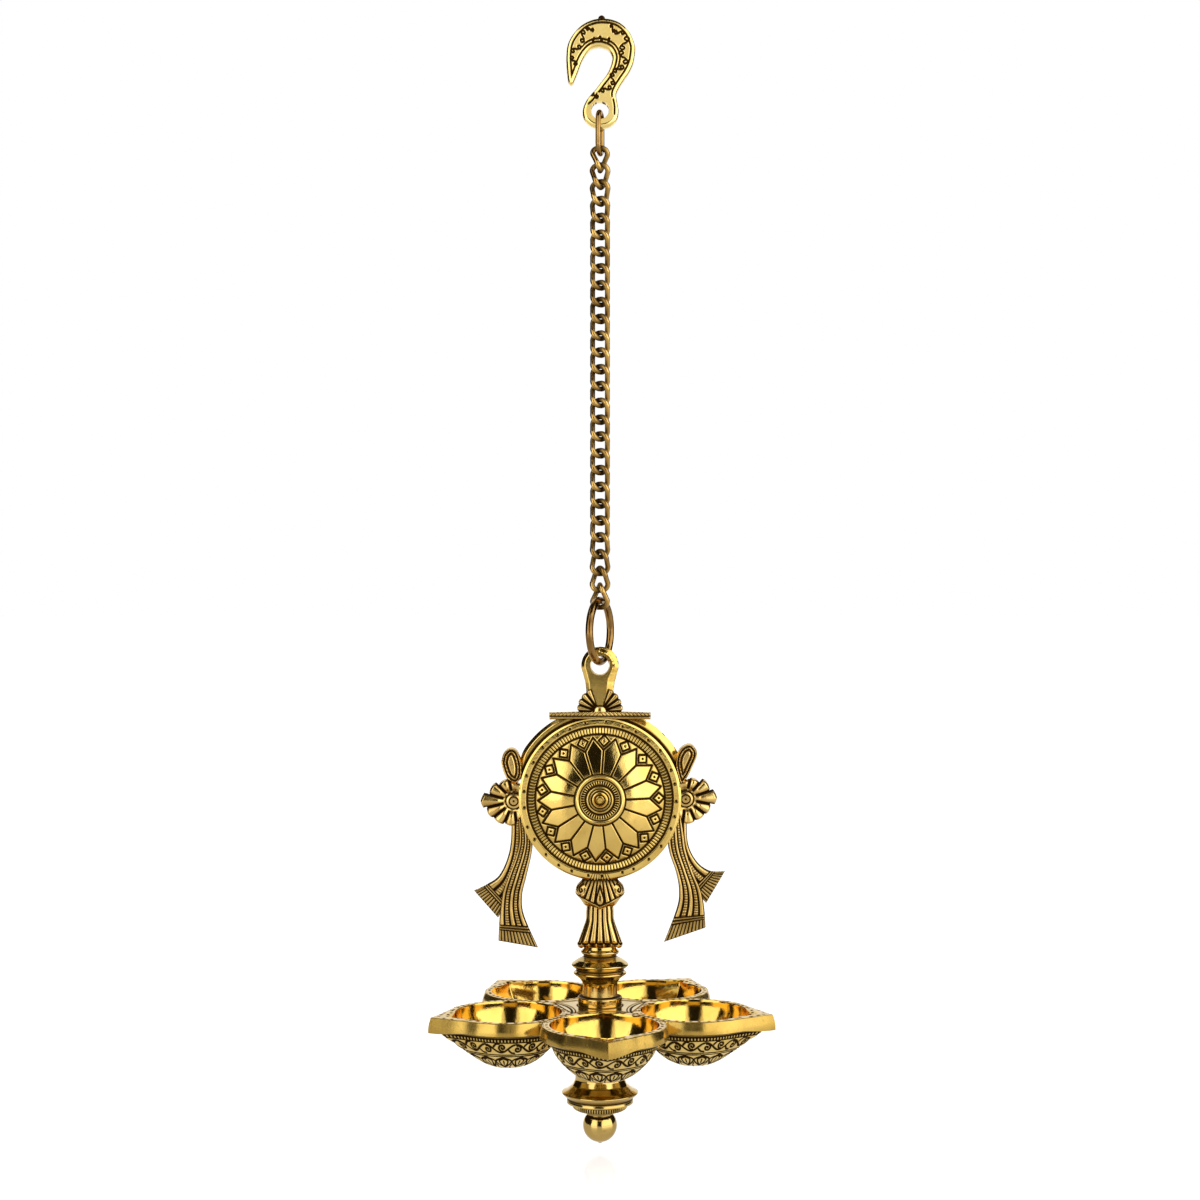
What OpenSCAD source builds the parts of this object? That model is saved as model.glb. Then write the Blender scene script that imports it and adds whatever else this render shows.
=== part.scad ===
// Hanging oil lamp: a hook, a curb chain, a wheel plate with ribbons and five pointed oil cups.
// Millimetres, +Z up, front towards -Y. The origin is the centre of the hook's bowl.

/* [Hook] */
// Thickness of the hook plate
hook_t = 6.5; // [5:0.1:8]
// Radius of the bowl that hangs on a rod or a ceiling hook
hook_bowl_r = 6.1; // [5:0.1:8]
// Width of the hook at its heavy crown
hook_crown_w = 15.2; // [12:0.1:18]
// Width of the hook at its sides
hook_side_w = 10.6; // [9:0.1:12]
// Width of the neck between bowl and eye
hook_neck_w = 9.3; // [8:0.1:11]
// Reach of the arm's tip beyond the bowl's edge
hook_arm_reach = 8.5; // [7:0.1:10]
// Width of the arm at its tip
hook_tip_w = 1.6; // [1:0.1:2.5]
// Drop of the arm's tip below the bowl's centre
hook_arm_drop = 12.2; // [9:0.1:14]
// Drop of the eye's centre below the bowl's centre
hook_eye_drop = 25.6; // [24:0.1:32]
// Outer radius of the eye
hook_eye_r = 9; // [8:0.1:11]
// Radius of the hole in the eye
hook_eye_hole_r = 4.3; // [4:0.1:5]

/* [Hook link] */
// Wire diameter of the long link in the hook's eye
hook_link_wire = 2.7; // [2:0.1:3.2]
// Outer length of the long link
hook_link_len = 23.4; // [20:0.1:30]
// Play between the long link and each face of the hook
hook_link_play = 0.75; // [0.5:0.05:1.5]
// Gap between the long link and the floor of the eye's hole
hook_link_gap = 0.85; // [0.6:0.05:1.2]
// Turn of the long link about the vertical
hook_link_turn = 10; // [0:1:15]

/* [Chain] */
// Wire diameter of the curb links
chain_wire = 2.6; // [1.8:0.1:2.7]
// Outer width of a curb link
link_w = 10; // [9.6:0.1:12]
// Distance from one link to the next
link_pitch = 8.4; // [8:0.1:12]
// Gap between two wires that hang in each other
link_gap = 0.2; // [0.1:0.05:0.4]
// Twist of each link's ends out of its middle plane
link_end_twist = -45; // [-48:1:-40]
// Turn of the top link towards the long link
chain_top_turn = 45; // [0:1:45]
// Turn of the bottom link towards the ring
chain_bottom_turn = -45; // [-45:1:0]

/* [Ring] */
// Wire diameter of the plate's ring
ring_wire = 3.9; // [3:0.1:4]
// Outer diameter of the plate's ring
ring_od = 34.6; // [28:0.1:40]
// Turn of the ring's plane out of the front-to-back plane
ring_turn = 20; // [0:1:22]

/* [Wheel plate] */
// Thickness of the plate and its lug
plate_t = 4.6; // [3.5:0.1:5]
// Outer radius of the lug
lug_r = 9.35; // [8.5:0.1:11]
// Radius of the hole in the lug
lug_hole_r = 4.4; // [4.2:0.1:5]
// Width of the lug's waist
lug_waist_w = 14; // [10:0.1:16]
// Rise of the lug's hole above the top of the shell fan
lug_rise = 11.1; // [9:0.1:16]
// How far the plate behind the wheel stays inside the wheel's edge
backing_inset = 3.9; // [3:0.1:8]
// How far the shoulders stand out beside the wheel
shoulder_out = 5.6; // [3:0.1:8]
// Half length of the rope bar
bar_half = 25.3; // [20:0.1:28]
// Height of the rope bar
bar_h = 4; // [3:0.1:5]
// How far the rope bar stands out in front of the plate
bar_relief = 2.2; // [1:0.1:3]
// Radius of the shell fan over the rope bar
fan_r = 12; // [10:0.1:13]
// How far the shell fan stands out in front of the plate
fan_relief = 2.6; // [1:0.1:4]
// Drop from the wheel's centre to the stem's foot
stem_drop = 75; // [70:0.1:85]
// Width of the stem's leaf at its side scrolls
scroll_w = 24.6; // [20:0.1:28]
// Width of the stem at its waist
stem_waist_w = 14.2; // [12:0.1:18]
// Width of the stem at its foot
stem_foot_w = 22.4; // [18:0.1:24]
// Thickness of the stem at its foot
stem_t = 11; // [9.5:0.1:14]

/* [Wheel] */
// Width of the wheel's plain rim outside the milled band
disc_rim_w = 4.3; // [3:0.1:6]
// Thickness of the wheel's rim
disc_rim_t = 3; // [2:0.1:4]
// Outer radius of the milled band
band_outer_r = 36.1; // [32:0.1:41]
// Width of the milled band
band_w = 3.8; // [2:0.1:6]
// Depth of the milled band below the rim
band_step = 0.6; // [0.2:0.1:1]
// Height of the petal dome at the boss
dome_h = 7; // [5:0.1:9]
// Radius of the boss in the middle
boss_r = 12.6; // [9:0.1:14]
// Height of the boss above the dome
boss_h = 2; // [1:0.1:3]
// Radius of the rivet's shank
rivet_r = 1.3; // [1:0.1:2]
// Height of the rivet's heads
rivet_head_h = 1; // [0.6:0.1:1.5]
// Radial clearance of the rivet
rivet_clear = 0.05; // [0.02:0.01:0.1]

/* [Sashes] */
// Thickness of a sash behind the wheel
sash_t = 4; // [3:0.1:4.5]
// How far a sash stands out beside the wheel's rim
sash_relief = 2.6; // [1:0.1:3]
// Gap between a sash and what it passes
sash_gap = 0.3; // [0.2:0.05:0.5]
// Distance of a palmette's root from the wheel's edge
palmette_out = 2.2; // [1:0.1:4]
// Reach of a palmette's middle lobe
palmette_tip = 17; // [13:0.1:19]
// Reach of a palmette's side lobes
palmette_side = 11; // [9:0.1:12.5]
// Radius of a sash's loop
loop_r = 4.4; // [3.5:0.1:5]
// Length of a sash's loop from its round end's centre to its tip
loop_tip = 13; // [10:0.1:14]

/* [Baluster and rod] */
// Height of the turned baluster
baluster_h = 28.3; // [26:0.1:34]
// Radius of the baluster's largest ring
baluster_ring_r = 14.35; // [13:0.1:18]
// Radius of the baluster's plain neck
baluster_neck_r = 8.7; // [7:0.1:10]
// Radius of the baluster's foot ring
baluster_foot_r = 11.1; // [10:0.1:14]
// Radius of the rod inside
rod_r = 3; // [2:0.1:3.5]
// Radial clearance of the rod
rod_clear = 0.05; // [0.02:0.01:0.2]
// Depth of the rod in the stem
rod_in_stem = 16; // [10:0.5:17]
// Depth of the rod in the ball
rod_in_ball = 8; // [5:0.5:9]

/* [Cups] */
// Radius of a cup's opening at the rim
open_r = 26.2; // [22:0.1:30]
// Width of the flat rim round a cup's opening
rim_w = 4.8; // [3:0.1:7]
// How far a cup's tip points out beyond its round rim
tip_out = 10; // [6:0.1:14]
// Height of a cup's lip
lip_h = 7.5; // [5:0.1:9]
// How much wider a cup's bowl is outside, under the lip, than its opening at the rim
bowl_wall = 0.4; // [0.2:0.1:1.5]
// Metal left between a cup's bowl and the seams with its neighbours
seam_wall = 1.6; // [0.8:0.1:3]
// Height of a cup from rim to bottom
cup_h = 27; // [22:0.5:30]
// How far the spout notch reaches out beyond the opening
spout_out = 3.3; // [2:0.1:5]
// Depth of the spout notch
spout_d = 2.5; // [1:0.1:4]
// Thickness of a cup's floor
cup_floor = 3; // [2:0.1:5]
// Turn of the ring of cups about the vertical
cup_turn = 2.5; // [-36:0.5:36]

/* [Hub, collar and ball] */
// Metal left between a cup's bowl and the hub's flat sides
hub_wall = 1.4; // [0.8:0.1:3]
// Radius of the hub's round boss under the cups
hub_boss_r = 13.2; // [12:0.1:15]
// Height of the hub with its boss
hub_h = 31; // [28:0.5:36]
// Height of the collar under the hub
collar_h = 22.4; // [20:0.1:28]
// Radius of the collar's flange
flange_r = 19.1; // [16:0.1:24]
// Radius of the collar's bead ring
bead_ring_r = 13.3; // [10:0.1:16]
// Radius of the ball
ball_r = 8.5; // [7:0.1:11]
// Radius of the neck above the ball
ball_neck_r = 6.6; // [5:0.1:7]
// Height of the neck above the ball's upper edge
ball_neck_h = 1; // [0.5:0.1:3]
// Height of the small point under the ball
ball_point_h = 1; // [0.2:0.1:2]

/* [Hidden] */
$fn = 96;
brass = [0.78, 0.6, 0.26];
dark_brass = [0.5, 0.36, 0.16];
// Extra length of a cut past the face that it opens
past = 1;
link_count = 27;
cup_count = 5;
// Links at each end of the chain over which its turn fades out
turn_links = 5;

// A straight wire is this much thinner than the bend that it joins, and runs this far into it
wire_step = 0.03;
wire_seat = 0.3;

hook_link_r = hook_link_wire / 2;
hook_link_bend = hook_t / 2 + hook_link_play + hook_link_r;
// The link's crown dips towards the hook's faces and crosses their plane at this lean
crown_lean = asin(hook_t / 2 / cos(hook_link_turn) / hook_link_bend);
crown_dip = hook_link_bend * (1 - cos(crown_lean));
eye_floor_z = -hook_eye_drop - hook_eye_hole_r;
hook_link_top = eye_floor_z + hook_link_gap + hook_link_r / cos(crown_lean) + crown_dip;
hook_link_bottom = hook_link_top - hook_link_len + hook_link_wire;

link_r = chain_wire / 2;
link_half_w = (link_w - chain_wire) / 2;
link_half_h = (link_pitch + chain_wire + link_gap) / 2;
first_crown_z = hook_link_bottom + hook_link_r + link_gap + link_r;
last_crown_z = first_crown_z - (link_count - 1) * link_pitch - 2 * link_half_h;

// One quarter of a curb link: a short crown, a bend down from the knee and half a side bar
crown_half = 0.6;
crown_at = [0, 0, link_half_h];
crown_dir = [cos(link_end_twist), sin(link_end_twist), 0];
side_at = [link_half_w, 0, 0];
knee_at = [link_half_w, link_half_w * tan(link_end_twist), link_half_h];
side_dir = (side_at - knee_at) / norm(side_at - knee_at);
knee_angle = acos(crown_dir * side_dir);
knee_tangent = norm(knee_at - crown_at) - crown_half;
knee_bend = knee_tangent / tan(knee_angle / 2);
knee_across = side_dir - crown_dir * (crown_dir * side_dir);
knee_in = knee_across / norm(knee_across);
side_half = norm(knee_at - side_at) - knee_tangent;

ring_bend = (ring_od - ring_wire) / 2;
ring_top = last_crown_z + link_r + link_gap + ring_wire / 2;
ring_z = ring_top - ring_bend;
ring_bottom = ring_z - ring_bend;
// The ring crosses the lug aslant, so its edges set how high it rides in the lug's hole
ride_x = plate_t / 2 * tan(ring_turn);
ride_rise = ring_bend - sqrt(pow(ring_bend, 2) - pow(plate_t / 2 / cos(ring_turn), 2));
ride_room = lug_hole_r - link_gap - ring_wire / 2 / cos(ring_turn);
ring_ride = sqrt(pow(ride_room, 2) - pow(ride_x, 2)) - ride_rise;

disc_r = band_outer_r + disc_rim_w;
band_inner_r = band_outer_r - band_w;
backing_r = disc_r - backing_inset;
shoulder_r = disc_r + shoulder_out;
palmette_at = disc_r + palmette_out;
bar_top = disc_r + bar_h * 0.75;
lug_drop = bar_top + fan_r + lug_rise;
disc_z = ring_bottom - ring_ride - lug_drop;
stem_foot_z = disc_z - stem_drop;
hub_top = stem_foot_z - baluster_h;
collar_top = hub_top - hub_h;
ball_top = collar_top - collar_h;
// The ball's neck meets the ball on this height above its centre
ball_shoulder = sqrt(pow(ball_r, 2) - pow(ball_neck_r, 2));
ball_z = ball_top - ball_neck_h - ball_shoulder;
front_y = -plate_t / 2;

// A cup's bowl stands clear of the seams with its neighbours and with the hub
bowl_r = open_r + bowl_wall;
lip_r = open_r + rim_w;
spout_tip = open_r + spout_out;
cup_reach = (bowl_r + seam_wall) / sin(180 / cup_count);
cup_tip = cup_reach + lip_r + tip_out;
hub_flat = cup_reach - bowl_r - hub_wall;

// Edges of the ribbon tails about the wheel's centre: outer x, outer z, inner x, inner z
left_front_tail = [
    [-44.8, -10, -35, -10], [-44.8, -24, -34.4, -25.5], [-47.6, -36, -35.6, -36],
    [-49.3, -48, -38.4, -49], [-50.2, -60.5, -37.2, -60], [-50.3, -71.2, -30.6, -74.2]
];
left_back_tail = [
    [-44.9, -22, -38, -24], [-47.4, -34.7, -41, -36], [-52.9, -41.9, -46, -49], [-63.1, -46, -50.7, -59.9]
];
right_front_tail = [
    [43.2, -10, 34.5, -10], [45.2, -22.7, 35.4, -23.7], [48.6, -34, 37.6, -33.9],
    [51.4, -45, 38.6, -45.2], [51.8, -56.4, 37, -55.4], [52.9, -64.5, 32, -71.7]
];
right_back_tail = [
    [44.8, -20, 38, -22], [47.8, -30.9, 41, -33], [52.4, -33.9, 46.5, -42], [62.5, -36, 52.9, -52.8]
];

function link_name(i) = str("chain_link_", i < 10 ? "0" : "", i);
function cup_name(i) = str("cup_", i);

// Smooth curve through a list of points of any dimension, with some steps between two points
function clamped(list, i) = list[max(0, min(len(list) - 1, i))];
function curve_at(list, i, t) =
    let (a = clamped(list, i - 1), b = clamped(list, i), c = clamped(list, i + 1), d = clamped(list, i + 2))
    b + (c - a) * t / 2 + (2 * a - 5 * b + 4 * c - d) * t * t / 2 + (3 * b - a - 3 * c + d) * t * t * t / 2;
function curve(list, steps) = concat(
    [for (i = [0:len(list) - 2], k = [0:steps - 1]) curve_at(list, i, k / steps)],
    [list[len(list) - 1]]
);

// Outline of a strip between two edges, given as [x, z, x, z] stations
function strip(stations) = concat(
    [for (s = stations) [s[0], s[1]]],
    [for (i = [len(stations) - 1:-1:0]) [stations[i][2], stations[i][3]]]
);

// Outline stations of a strip that follows a centre line, given as [x, z, half width]
function strip_edges(path) = [
    for (i = [0:len(path) - 1])
    let (step = clamped(path, i + 1) - clamped(path, i - 1), run = norm([step[0], step[1]]), p = path[i])
    let (across = [-step[1], step[0]] / run * p[2])
    [p[0] + across[0], p[1] + across[1], p[0] - across[0], p[1] - across[1]]
];

// Matrix of a frame with two given axes and an origin
function frame_at(x, y, o) =
    let (z = cross(x, y))
    [[x[0], y[0], z[0], o[0]], [x[1], y[1], z[1], o[1]], [x[2], y[2], z[2], o[2]], [0, 0, 0, 1]];

// Quarter ellipse from the rim of a bowl down to its axis
function bowl_curve(r, depth, steps) = [
    for (k = [0:steps])
    let (a = 90 * k / steps)
    [r * cos(a), -depth * sin(a)]
];

// Lobed fan: reach falls from the tip to the sides, with rounded lobes
function fan_outline(tip, side, spread, lobes) = [
    for (a = [-spread:4:spread])
    let (reach = side + (tip - side) * pow(cos(a * 90 / spread), 2))
    let (lobe = 0.86 + 0.14 * abs(cos(180 * lobes * (a + spread) / (2 * spread) - 90)))
    [reach * lobe * cos(a), reach * lobe * sin(a)]
];

// Circle with a straight-sided point along +X
module pointed_circle(r, tip) {
    lean = acos(r / tip);
    circle(r = r);
    polygon([[0, 0], [r * cos(lean), -r * sin(lean)], [tip, 0], [r * cos(lean), r * sin(lean)]]);
}

// Upright slab of a flat outline, from one depth to another
module slab(from_y, to_y) {
    translate([0, to_y, 0]) rotate([90, 0, 0]) linear_extrude(to_y - from_y) children();
}

// Round wire on a straight run between two points, seated in the bends at its ends
module straight_wire(middle, dir, half, r) {
    x = abs(dir[0]) < 0.5 ? [1, 0, 0] : cross(dir, [0, 0, 1]);
    multmatrix(frame_at(x, cross(dir, x), middle))
        cylinder(r = r - wire_step, h = 2 * (half + wire_seat), center = true);
}

// Width of the hook's crook at an angle about the bowl
function crook_w(a) = hook_side_w + (hook_crown_w - hook_side_w) * pow(max(0, cos(a - 65)), 1.5);

// Centre line of the hook from the arm's tip over the bowl to the eye. The crook reaches into the bowl
// by this bite, and the bowl's round cut then trims it.
crook_bite = 0.5;
hook_path = concat(
    [
        [-hook_bowl_r - hook_arm_reach, -hook_arm_drop, hook_tip_w / 2],
        [-hook_bowl_r - hook_arm_reach * 0.94, -hook_arm_drop * 0.58, hook_side_w * 0.26],
        [-hook_bowl_r - hook_arm_reach * 0.78, 0, hook_side_w * 0.4]
    ],
    [
        for (a = [150:-25:-25])
        let (reach = hook_bowl_r + (crook_w(a) - crook_bite) / 2)
        [reach * cos(a), reach * sin(a), (crook_w(a) + crook_bite) / 2]
    ],
    [
        [hook_bowl_r * 1.18, -hook_eye_drop * 0.38, hook_neck_w * 0.5],
        [hook_bowl_r * 0.6, -hook_eye_drop * 0.56, hook_neck_w * 0.55],
        [hook_bowl_r * 0.2, -hook_eye_drop * 0.72, hook_eye_r * 0.75],
        [0, -hook_eye_drop, hook_eye_r * 0.9]
    ]
);

module hook() color(brass) difference() {
    union() {
        slab(-hook_t / 2, hook_t / 2) polygon(strip(strip_edges(curve(hook_path, 4))));
        translate([0, 0, -hook_eye_drop])
            rotate([90, 0, 0]) cylinder(r = hook_eye_r, h = hook_t, center = true);
    }
    rotate([90, 0, 0]) cylinder(r = hook_bowl_r, h = hook_t + 2 * past, center = true);
    translate([0, 0, -hook_eye_drop])
        rotate([90, 0, 0]) cylinder(r = hook_eye_hole_r, h = hook_t + 2 * past, center = true);
}

module hook_link() color(dark_brass) rotate([0, 0, -hook_link_turn]) {
    multmatrix(frame_at([0, 1, 0], [0, 0, 1], [0, 0, hook_link_top - hook_link_bend]))
        rotate_extrude(angle = 180) translate([hook_link_bend, 0]) circle(r = hook_link_r);
    multmatrix(frame_at([0, -1, 0], [0, 0, -1], [0, 0, hook_link_bottom + hook_link_bend]))
        rotate_extrude(angle = 180) translate([hook_link_bend, 0]) circle(r = hook_link_r);
    half = (hook_link_top - hook_link_bottom) / 2 - hook_link_bend;
    for (y = [-hook_link_bend, hook_link_bend])
        straight_wire([0, y, (hook_link_top + hook_link_bottom) / 2], [0, 0, 1], half, hook_link_r);
}

module knee() {
    multmatrix(frame_at(-knee_in, crown_dir, crown_at + crown_dir * crown_half + knee_in * knee_bend))
        rotate_extrude(angle = knee_angle) translate([knee_bend, 0]) circle(r = link_r);
}

module half_link() {
    knee();
    rotate([180, 0, 0]) knee();
    straight_wire(side_at, side_dir, side_half, link_r);
}

// Turn of a link about the vertical: it fades out from both ends of the chain
function end_fade(n) = pow(max(0, 1 - n / turn_links), 2);
function link_turn(i) = chain_top_turn * end_fade(i - 1) + chain_bottom_turn * end_fade(link_count - i);

module chain_link(i) {
    middle_z = first_crown_z - link_half_h - (i - 1) * link_pitch;
    color(dark_brass) translate([0, 0, middle_z]) rotate([0, 0, link_turn(i)]) {
        half_link();
        rotate([0, 0, 180]) half_link();
        straight_wire(crown_at, crown_dir, crown_half, link_r);
        rotate([180, 0, 0]) straight_wire(crown_at, crown_dir, crown_half, link_r);
    }
}

module plate_ring() {
    color(dark_brass) translate([0, 0, ring_z]) rotate([0, 90, -ring_turn])
        rotate_extrude() translate([ring_bend, 0]) circle(r = ring_wire / 2);
}

// Flat outline of the plate: lug, shoulders and the round backing of the wheel
module plate_outline() {
    waist_z = lug_drop - 1.3 * lug_r;
    circle(r = backing_r);
    intersection() {
        circle(r = shoulder_r);
        translate([-shoulder_r, shoulder_r * 0.53]) square([2 * shoulder_r, bar_top - shoulder_r * 0.53]);
    }
    translate([0, lug_drop]) circle(r = lug_r);
    polygon([
        [-lug_r * 0.86, lug_drop - lug_r * 0.5], [lug_r * 0.86, lug_drop - lug_r * 0.5],
        [lug_waist_w / 2, waist_z], [lug_waist_w / 2, 0], [-lug_waist_w / 2, 0], [-lug_waist_w / 2, waist_z]
    ]);
}

// Half outline of the stem from the wheel down to its foot: half width, height about the wheel's centre
leaf_top = disc_r * 0.8;
leaf_tip = leaf_top + (stem_drop - leaf_top) * 0.56;
leaf_h = stem_drop - leaf_tip;
stem_half = [
    [stem_waist_w * 0.6, -leaf_top],
    [scroll_w * 0.36, -disc_r],
    [scroll_w * 0.5, -leaf_tip * 0.83],
    [stem_waist_w * 0.57, -leaf_tip * 0.96],
    [stem_waist_w * 0.5, -leaf_tip],
    [stem_waist_w * 0.53, -leaf_tip - leaf_h * 0.27],
    [stem_foot_w * 0.5, -stem_drop + leaf_h * 0.21],
    [stem_foot_w * 0.5, -stem_drop]
];

module stem_outline() {
    side = curve(stem_half, 4);
    polygon(concat(side, [for (i = [len(side) - 1:-1:0]) [-side[i][0], side[i][1]]]));
}

module wheel_plate() color(brass) translate([0, 0, disc_z]) difference() {
    union() {
        slab(front_y, plate_t / 2) plate_outline();
        slab(front_y - bar_relief, front_y + past) difference() {
            translate([-bar_half, bar_top - bar_h]) square([2 * bar_half, bar_h]);
            circle(r = disc_r + sash_gap);
        }
        slab(front_y - fan_relief, front_y + past) difference() {
            translate([0, bar_top - past])
                rotate(90) polygon(fan_outline(fan_r + past, fan_r * 0.9, 84, 6));
            circle(r = disc_r + sash_gap);
        }
        slab(-stem_t / 2, stem_t / 2) difference() {
            stem_outline();
            circle(r = disc_r + sash_gap);
        }
        slab(front_y, plate_t / 2) stem_outline();
    }
    translate([0, 0, lug_drop])
        rotate([90, 0, 0]) cylinder(r = lug_hole_r, h = plate_t + 2 * past, center = true);
    rotate([90, 0, 0]) cylinder(r = rivet_r + rivet_clear, h = plate_t + 2 * past, center = true);
    translate([0, 0, -stem_drop - past]) cylinder(r = rod_r + rod_clear, h = rod_in_stem + 2 * past);
}

// Petal dome of the wheel: an arc from the milled band up to the boss
dome_steps = 8;
dome = [
    for (k = [0:dome_steps])
    let (t = k / dome_steps)
    [band_inner_r + (boss_r - band_inner_r) * t, disc_rim_t + (dome_h - disc_rim_t) * sin(90 * t)]
];

module wheel_disc() {
    bore = rivet_r + rivet_clear;
    boss_top = dome_h + boss_h;
    color(brass) translate([0, front_y, disc_z]) rotate([90, 0, 0]) rotate_extrude() polygon(concat(
        [[bore, 0], [disc_r, 0], [disc_r, disc_rim_t], [band_outer_r, disc_rim_t]],
        [[band_outer_r, disc_rim_t - band_step], [band_inner_r, disc_rim_t - band_step]],
        dome,
        [[boss_r, dome_h + boss_h * 0.6], [boss_r * 0.75, boss_top], [bore, boss_top]]
    ));
}

// The shank runs from the plate's back to the top of the boss, with a head on both ends
module disc_rivet() {
    front_end = dome_h + boss_h;
    color(brass) translate([0, front_y, disc_z]) rotate([90, 0, 0]) {
        translate([0, 0, -plate_t]) cylinder(r = rivet_r, h = plate_t + front_end);
        translate([0, 0, front_end]) cylinder(r1 = rivet_r * 1.5, r2 = rivet_r, h = rivet_head_h);
        translate([0, 0, -plate_t - rivet_head_h])
            cylinder(r1 = rivet_r, r2 = rivet_r * 1.8, h = rivet_head_h);
    }
}

// Flat outline of one sash on the side of the given sign
module sash_outline(side, front_tail, back_tail) {
    loop_at = [side * (palmette_at + 2.2), palmette_side * 0.86 + loop_tip * 0.88];
    translate([side * palmette_at, 0])
        rotate(90 - 90 * side) polygon(fan_outline(palmette_tip, palmette_side, 104, 7));
    translate(loop_at) rotate(-90 + side * 8) pointed_circle(loop_r, loop_tip);
    polygon(strip(curve(front_tail, 4)));
    polygon(strip(curve(back_tail, 4)));
    intersection() {
        circle(r = palmette_at);
        translate([side > 0 ? 0 : -palmette_at, -palmette_side * 1.9])
            square([palmette_at, palmette_side * 2.6]);
    }
}

module sash(side, front_tail, back_tail) color(brass) translate([0, 0, disc_z]) {
    slab(front_y, front_y + sash_t) difference() {
        sash_outline(side, front_tail, back_tail);
        circle(r = backing_r + sash_gap);
    }
    slab(front_y - sash_relief, front_y + past) difference() {
        sash_outline(side, front_tail, back_tail);
        circle(r = disc_r + sash_gap);
    }
}

module sash_left() sash(-1, left_front_tail, left_back_tail);
module sash_right() sash(1, right_front_tail, right_back_tail);

// Turned profile of the baluster: radius, drop below the stem's foot
baluster_profile = [
    [baluster_neck_r * 0.95, 0], [baluster_neck_r + 0.9, 1], [baluster_neck_r + 0.9, 1.9],
    [baluster_neck_r - 0.7, 3.3], [baluster_neck_r - 0.5, 3.8],
    [baluster_ring_r, 7.5], [baluster_ring_r, 8.3],
    [baluster_ring_r - 2.4, 10.2], [baluster_ring_r - 2.4, 10.9], [baluster_ring_r - 1, 11.6],
    [baluster_ring_r - 1, 12.4], [baluster_neck_r + 1.6, 14.8], [baluster_neck_r, 17.4],
    [baluster_neck_r, baluster_h - 4.9], [baluster_foot_r, baluster_h - 4.4], [baluster_foot_r, baluster_h]
];

// A turned piece with a bore for the rod, from a profile of radii and drops
module turned(profile, top_z) {
    bore = rod_r + rod_clear;
    last = profile[len(profile) - 1];
    translate([0, 0, top_z]) rotate_extrude()
        polygon(concat([[bore, -profile[0][1]]], [for (p = profile) [p[0], -p[1]]], [[bore, -last[1]]]));
}

module stem_baluster() color(brass) turned(baluster_profile, stem_foot_z);

module tie_rod() {
    rod_top = stem_foot_z + rod_in_stem;
    rod_foot = ball_top - rod_in_ball;
    color(dark_brass) translate([0, 0, rod_foot]) cylinder(r = rod_r, h = rod_top - rod_foot);
}

function cup_angle(i) = -90 + cup_turn + (i - 1) * 360 / cup_count;

module cup_hub() color(brass) translate([0, 0, hub_top]) difference() {
    half_side = 180 / cup_count;
    union() {
        rotate(cup_angle(1) - half_side) translate([0, 0, -lip_h])
            cylinder(r = hub_flat / cos(half_side), h = lip_h, $fn = cup_count);
        translate([0, 0, -hub_h]) cylinder(r = hub_boss_r, h = hub_h - past);
    }
    translate([0, 0, -hub_h - past]) cylinder(r = rod_r + rod_clear, h = hub_h + 2 * past);
}

// The cups meet the hub and each other on flat seams
module cup_sector() {
    slope = tan(180 / cup_count);
    far = cup_tip + past;
    translate([0, 0, -cup_h - past]) linear_extrude(cup_h + 2 * past) polygon([
        [hub_flat, -hub_flat * slope], [far, -far * slope], [far, far * slope], [hub_flat, hub_flat * slope]
    ]);
}

module cup(i) color(brass) translate([0, 0, hub_top]) rotate(cup_angle(i)) difference() {
    spout_lean = acos(open_r / spout_tip);
    intersection() {
        translate([cup_reach, 0, 0]) {
            translate([0, 0, -lip_h]) linear_extrude(lip_h) pointed_circle(lip_r, cup_tip - cup_reach);
            rotate_extrude() polygon(concat(
                [[0, -lip_h / 2], [bowl_r, -lip_h / 2]],
                [for (p = bowl_curve(bowl_r, cup_h - lip_h, 9)) [p[0], p[1] - lip_h]]
            ));
        }
        cup_sector();
    }
    translate([cup_reach, 0, 0]) {
        rotate_extrude()
            polygon(concat([[0, past], [open_r, past]], bowl_curve(open_r, cup_h - cup_floor, 9)));
        translate([0, 0, -spout_d]) linear_extrude(spout_d + past) polygon([
            [open_r / 2, 0], [open_r * cos(spout_lean), -open_r * sin(spout_lean)],
            [spout_tip, 0], [open_r * cos(spout_lean), open_r * sin(spout_lean)]
        ]);
    }
}

// Turned profile of the collar: radius, drop below the hub
collar_profile = [
    [hub_boss_r, 0], [hub_boss_r - 0.8, 3], [hub_boss_r - 0.8, 5.5], [hub_boss_r + 0.6, 8.5],
    [flange_r - 2, 11], [flange_r, 12], [flange_r, 12.8], [flange_r - 3, 15.4], [flange_r - 2.4, 17.2],
    [flange_r - 2.4, 18.4], [bead_ring_r, 19.3], [bead_ring_r, collar_h - 0.6], [bead_ring_r - 1, collar_h]
];

module lower_collar() color(brass) turned(collar_profile, collar_top);

module ball_finial() color(brass) difference() {
    union() {
        translate([0, 0, ball_z]) sphere(r = ball_r);
        translate([0, 0, ball_z]) cylinder(r = ball_neck_r, h = ball_top - ball_z);
        translate([0, 0, ball_z - ball_r - ball_point_h])
            cylinder(r1 = ball_point_h * 0.6, r2 = ball_r * 0.4, h = ball_point_h + ball_r * 0.1);
    }
    translate([0, 0, ball_top]) cylinder(r = ball_r, h = ball_r);
    translate([0, 0, ball_top - rod_in_ball - rod_clear])
        cylinder(r = rod_r + rod_clear, h = rod_in_ball + past);
}

hook();
hook_link();
for (i = [1:link_count]) chain_link(i);
plate_ring();
wheel_plate();
wheel_disc();
disc_rivet();
sash_left();
sash_right();
stem_baluster();
tie_rod();
cup_hub();
for (i = [1:cup_count]) cup(i);
lower_collar();
ball_finial();
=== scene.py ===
import math
import random

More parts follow.
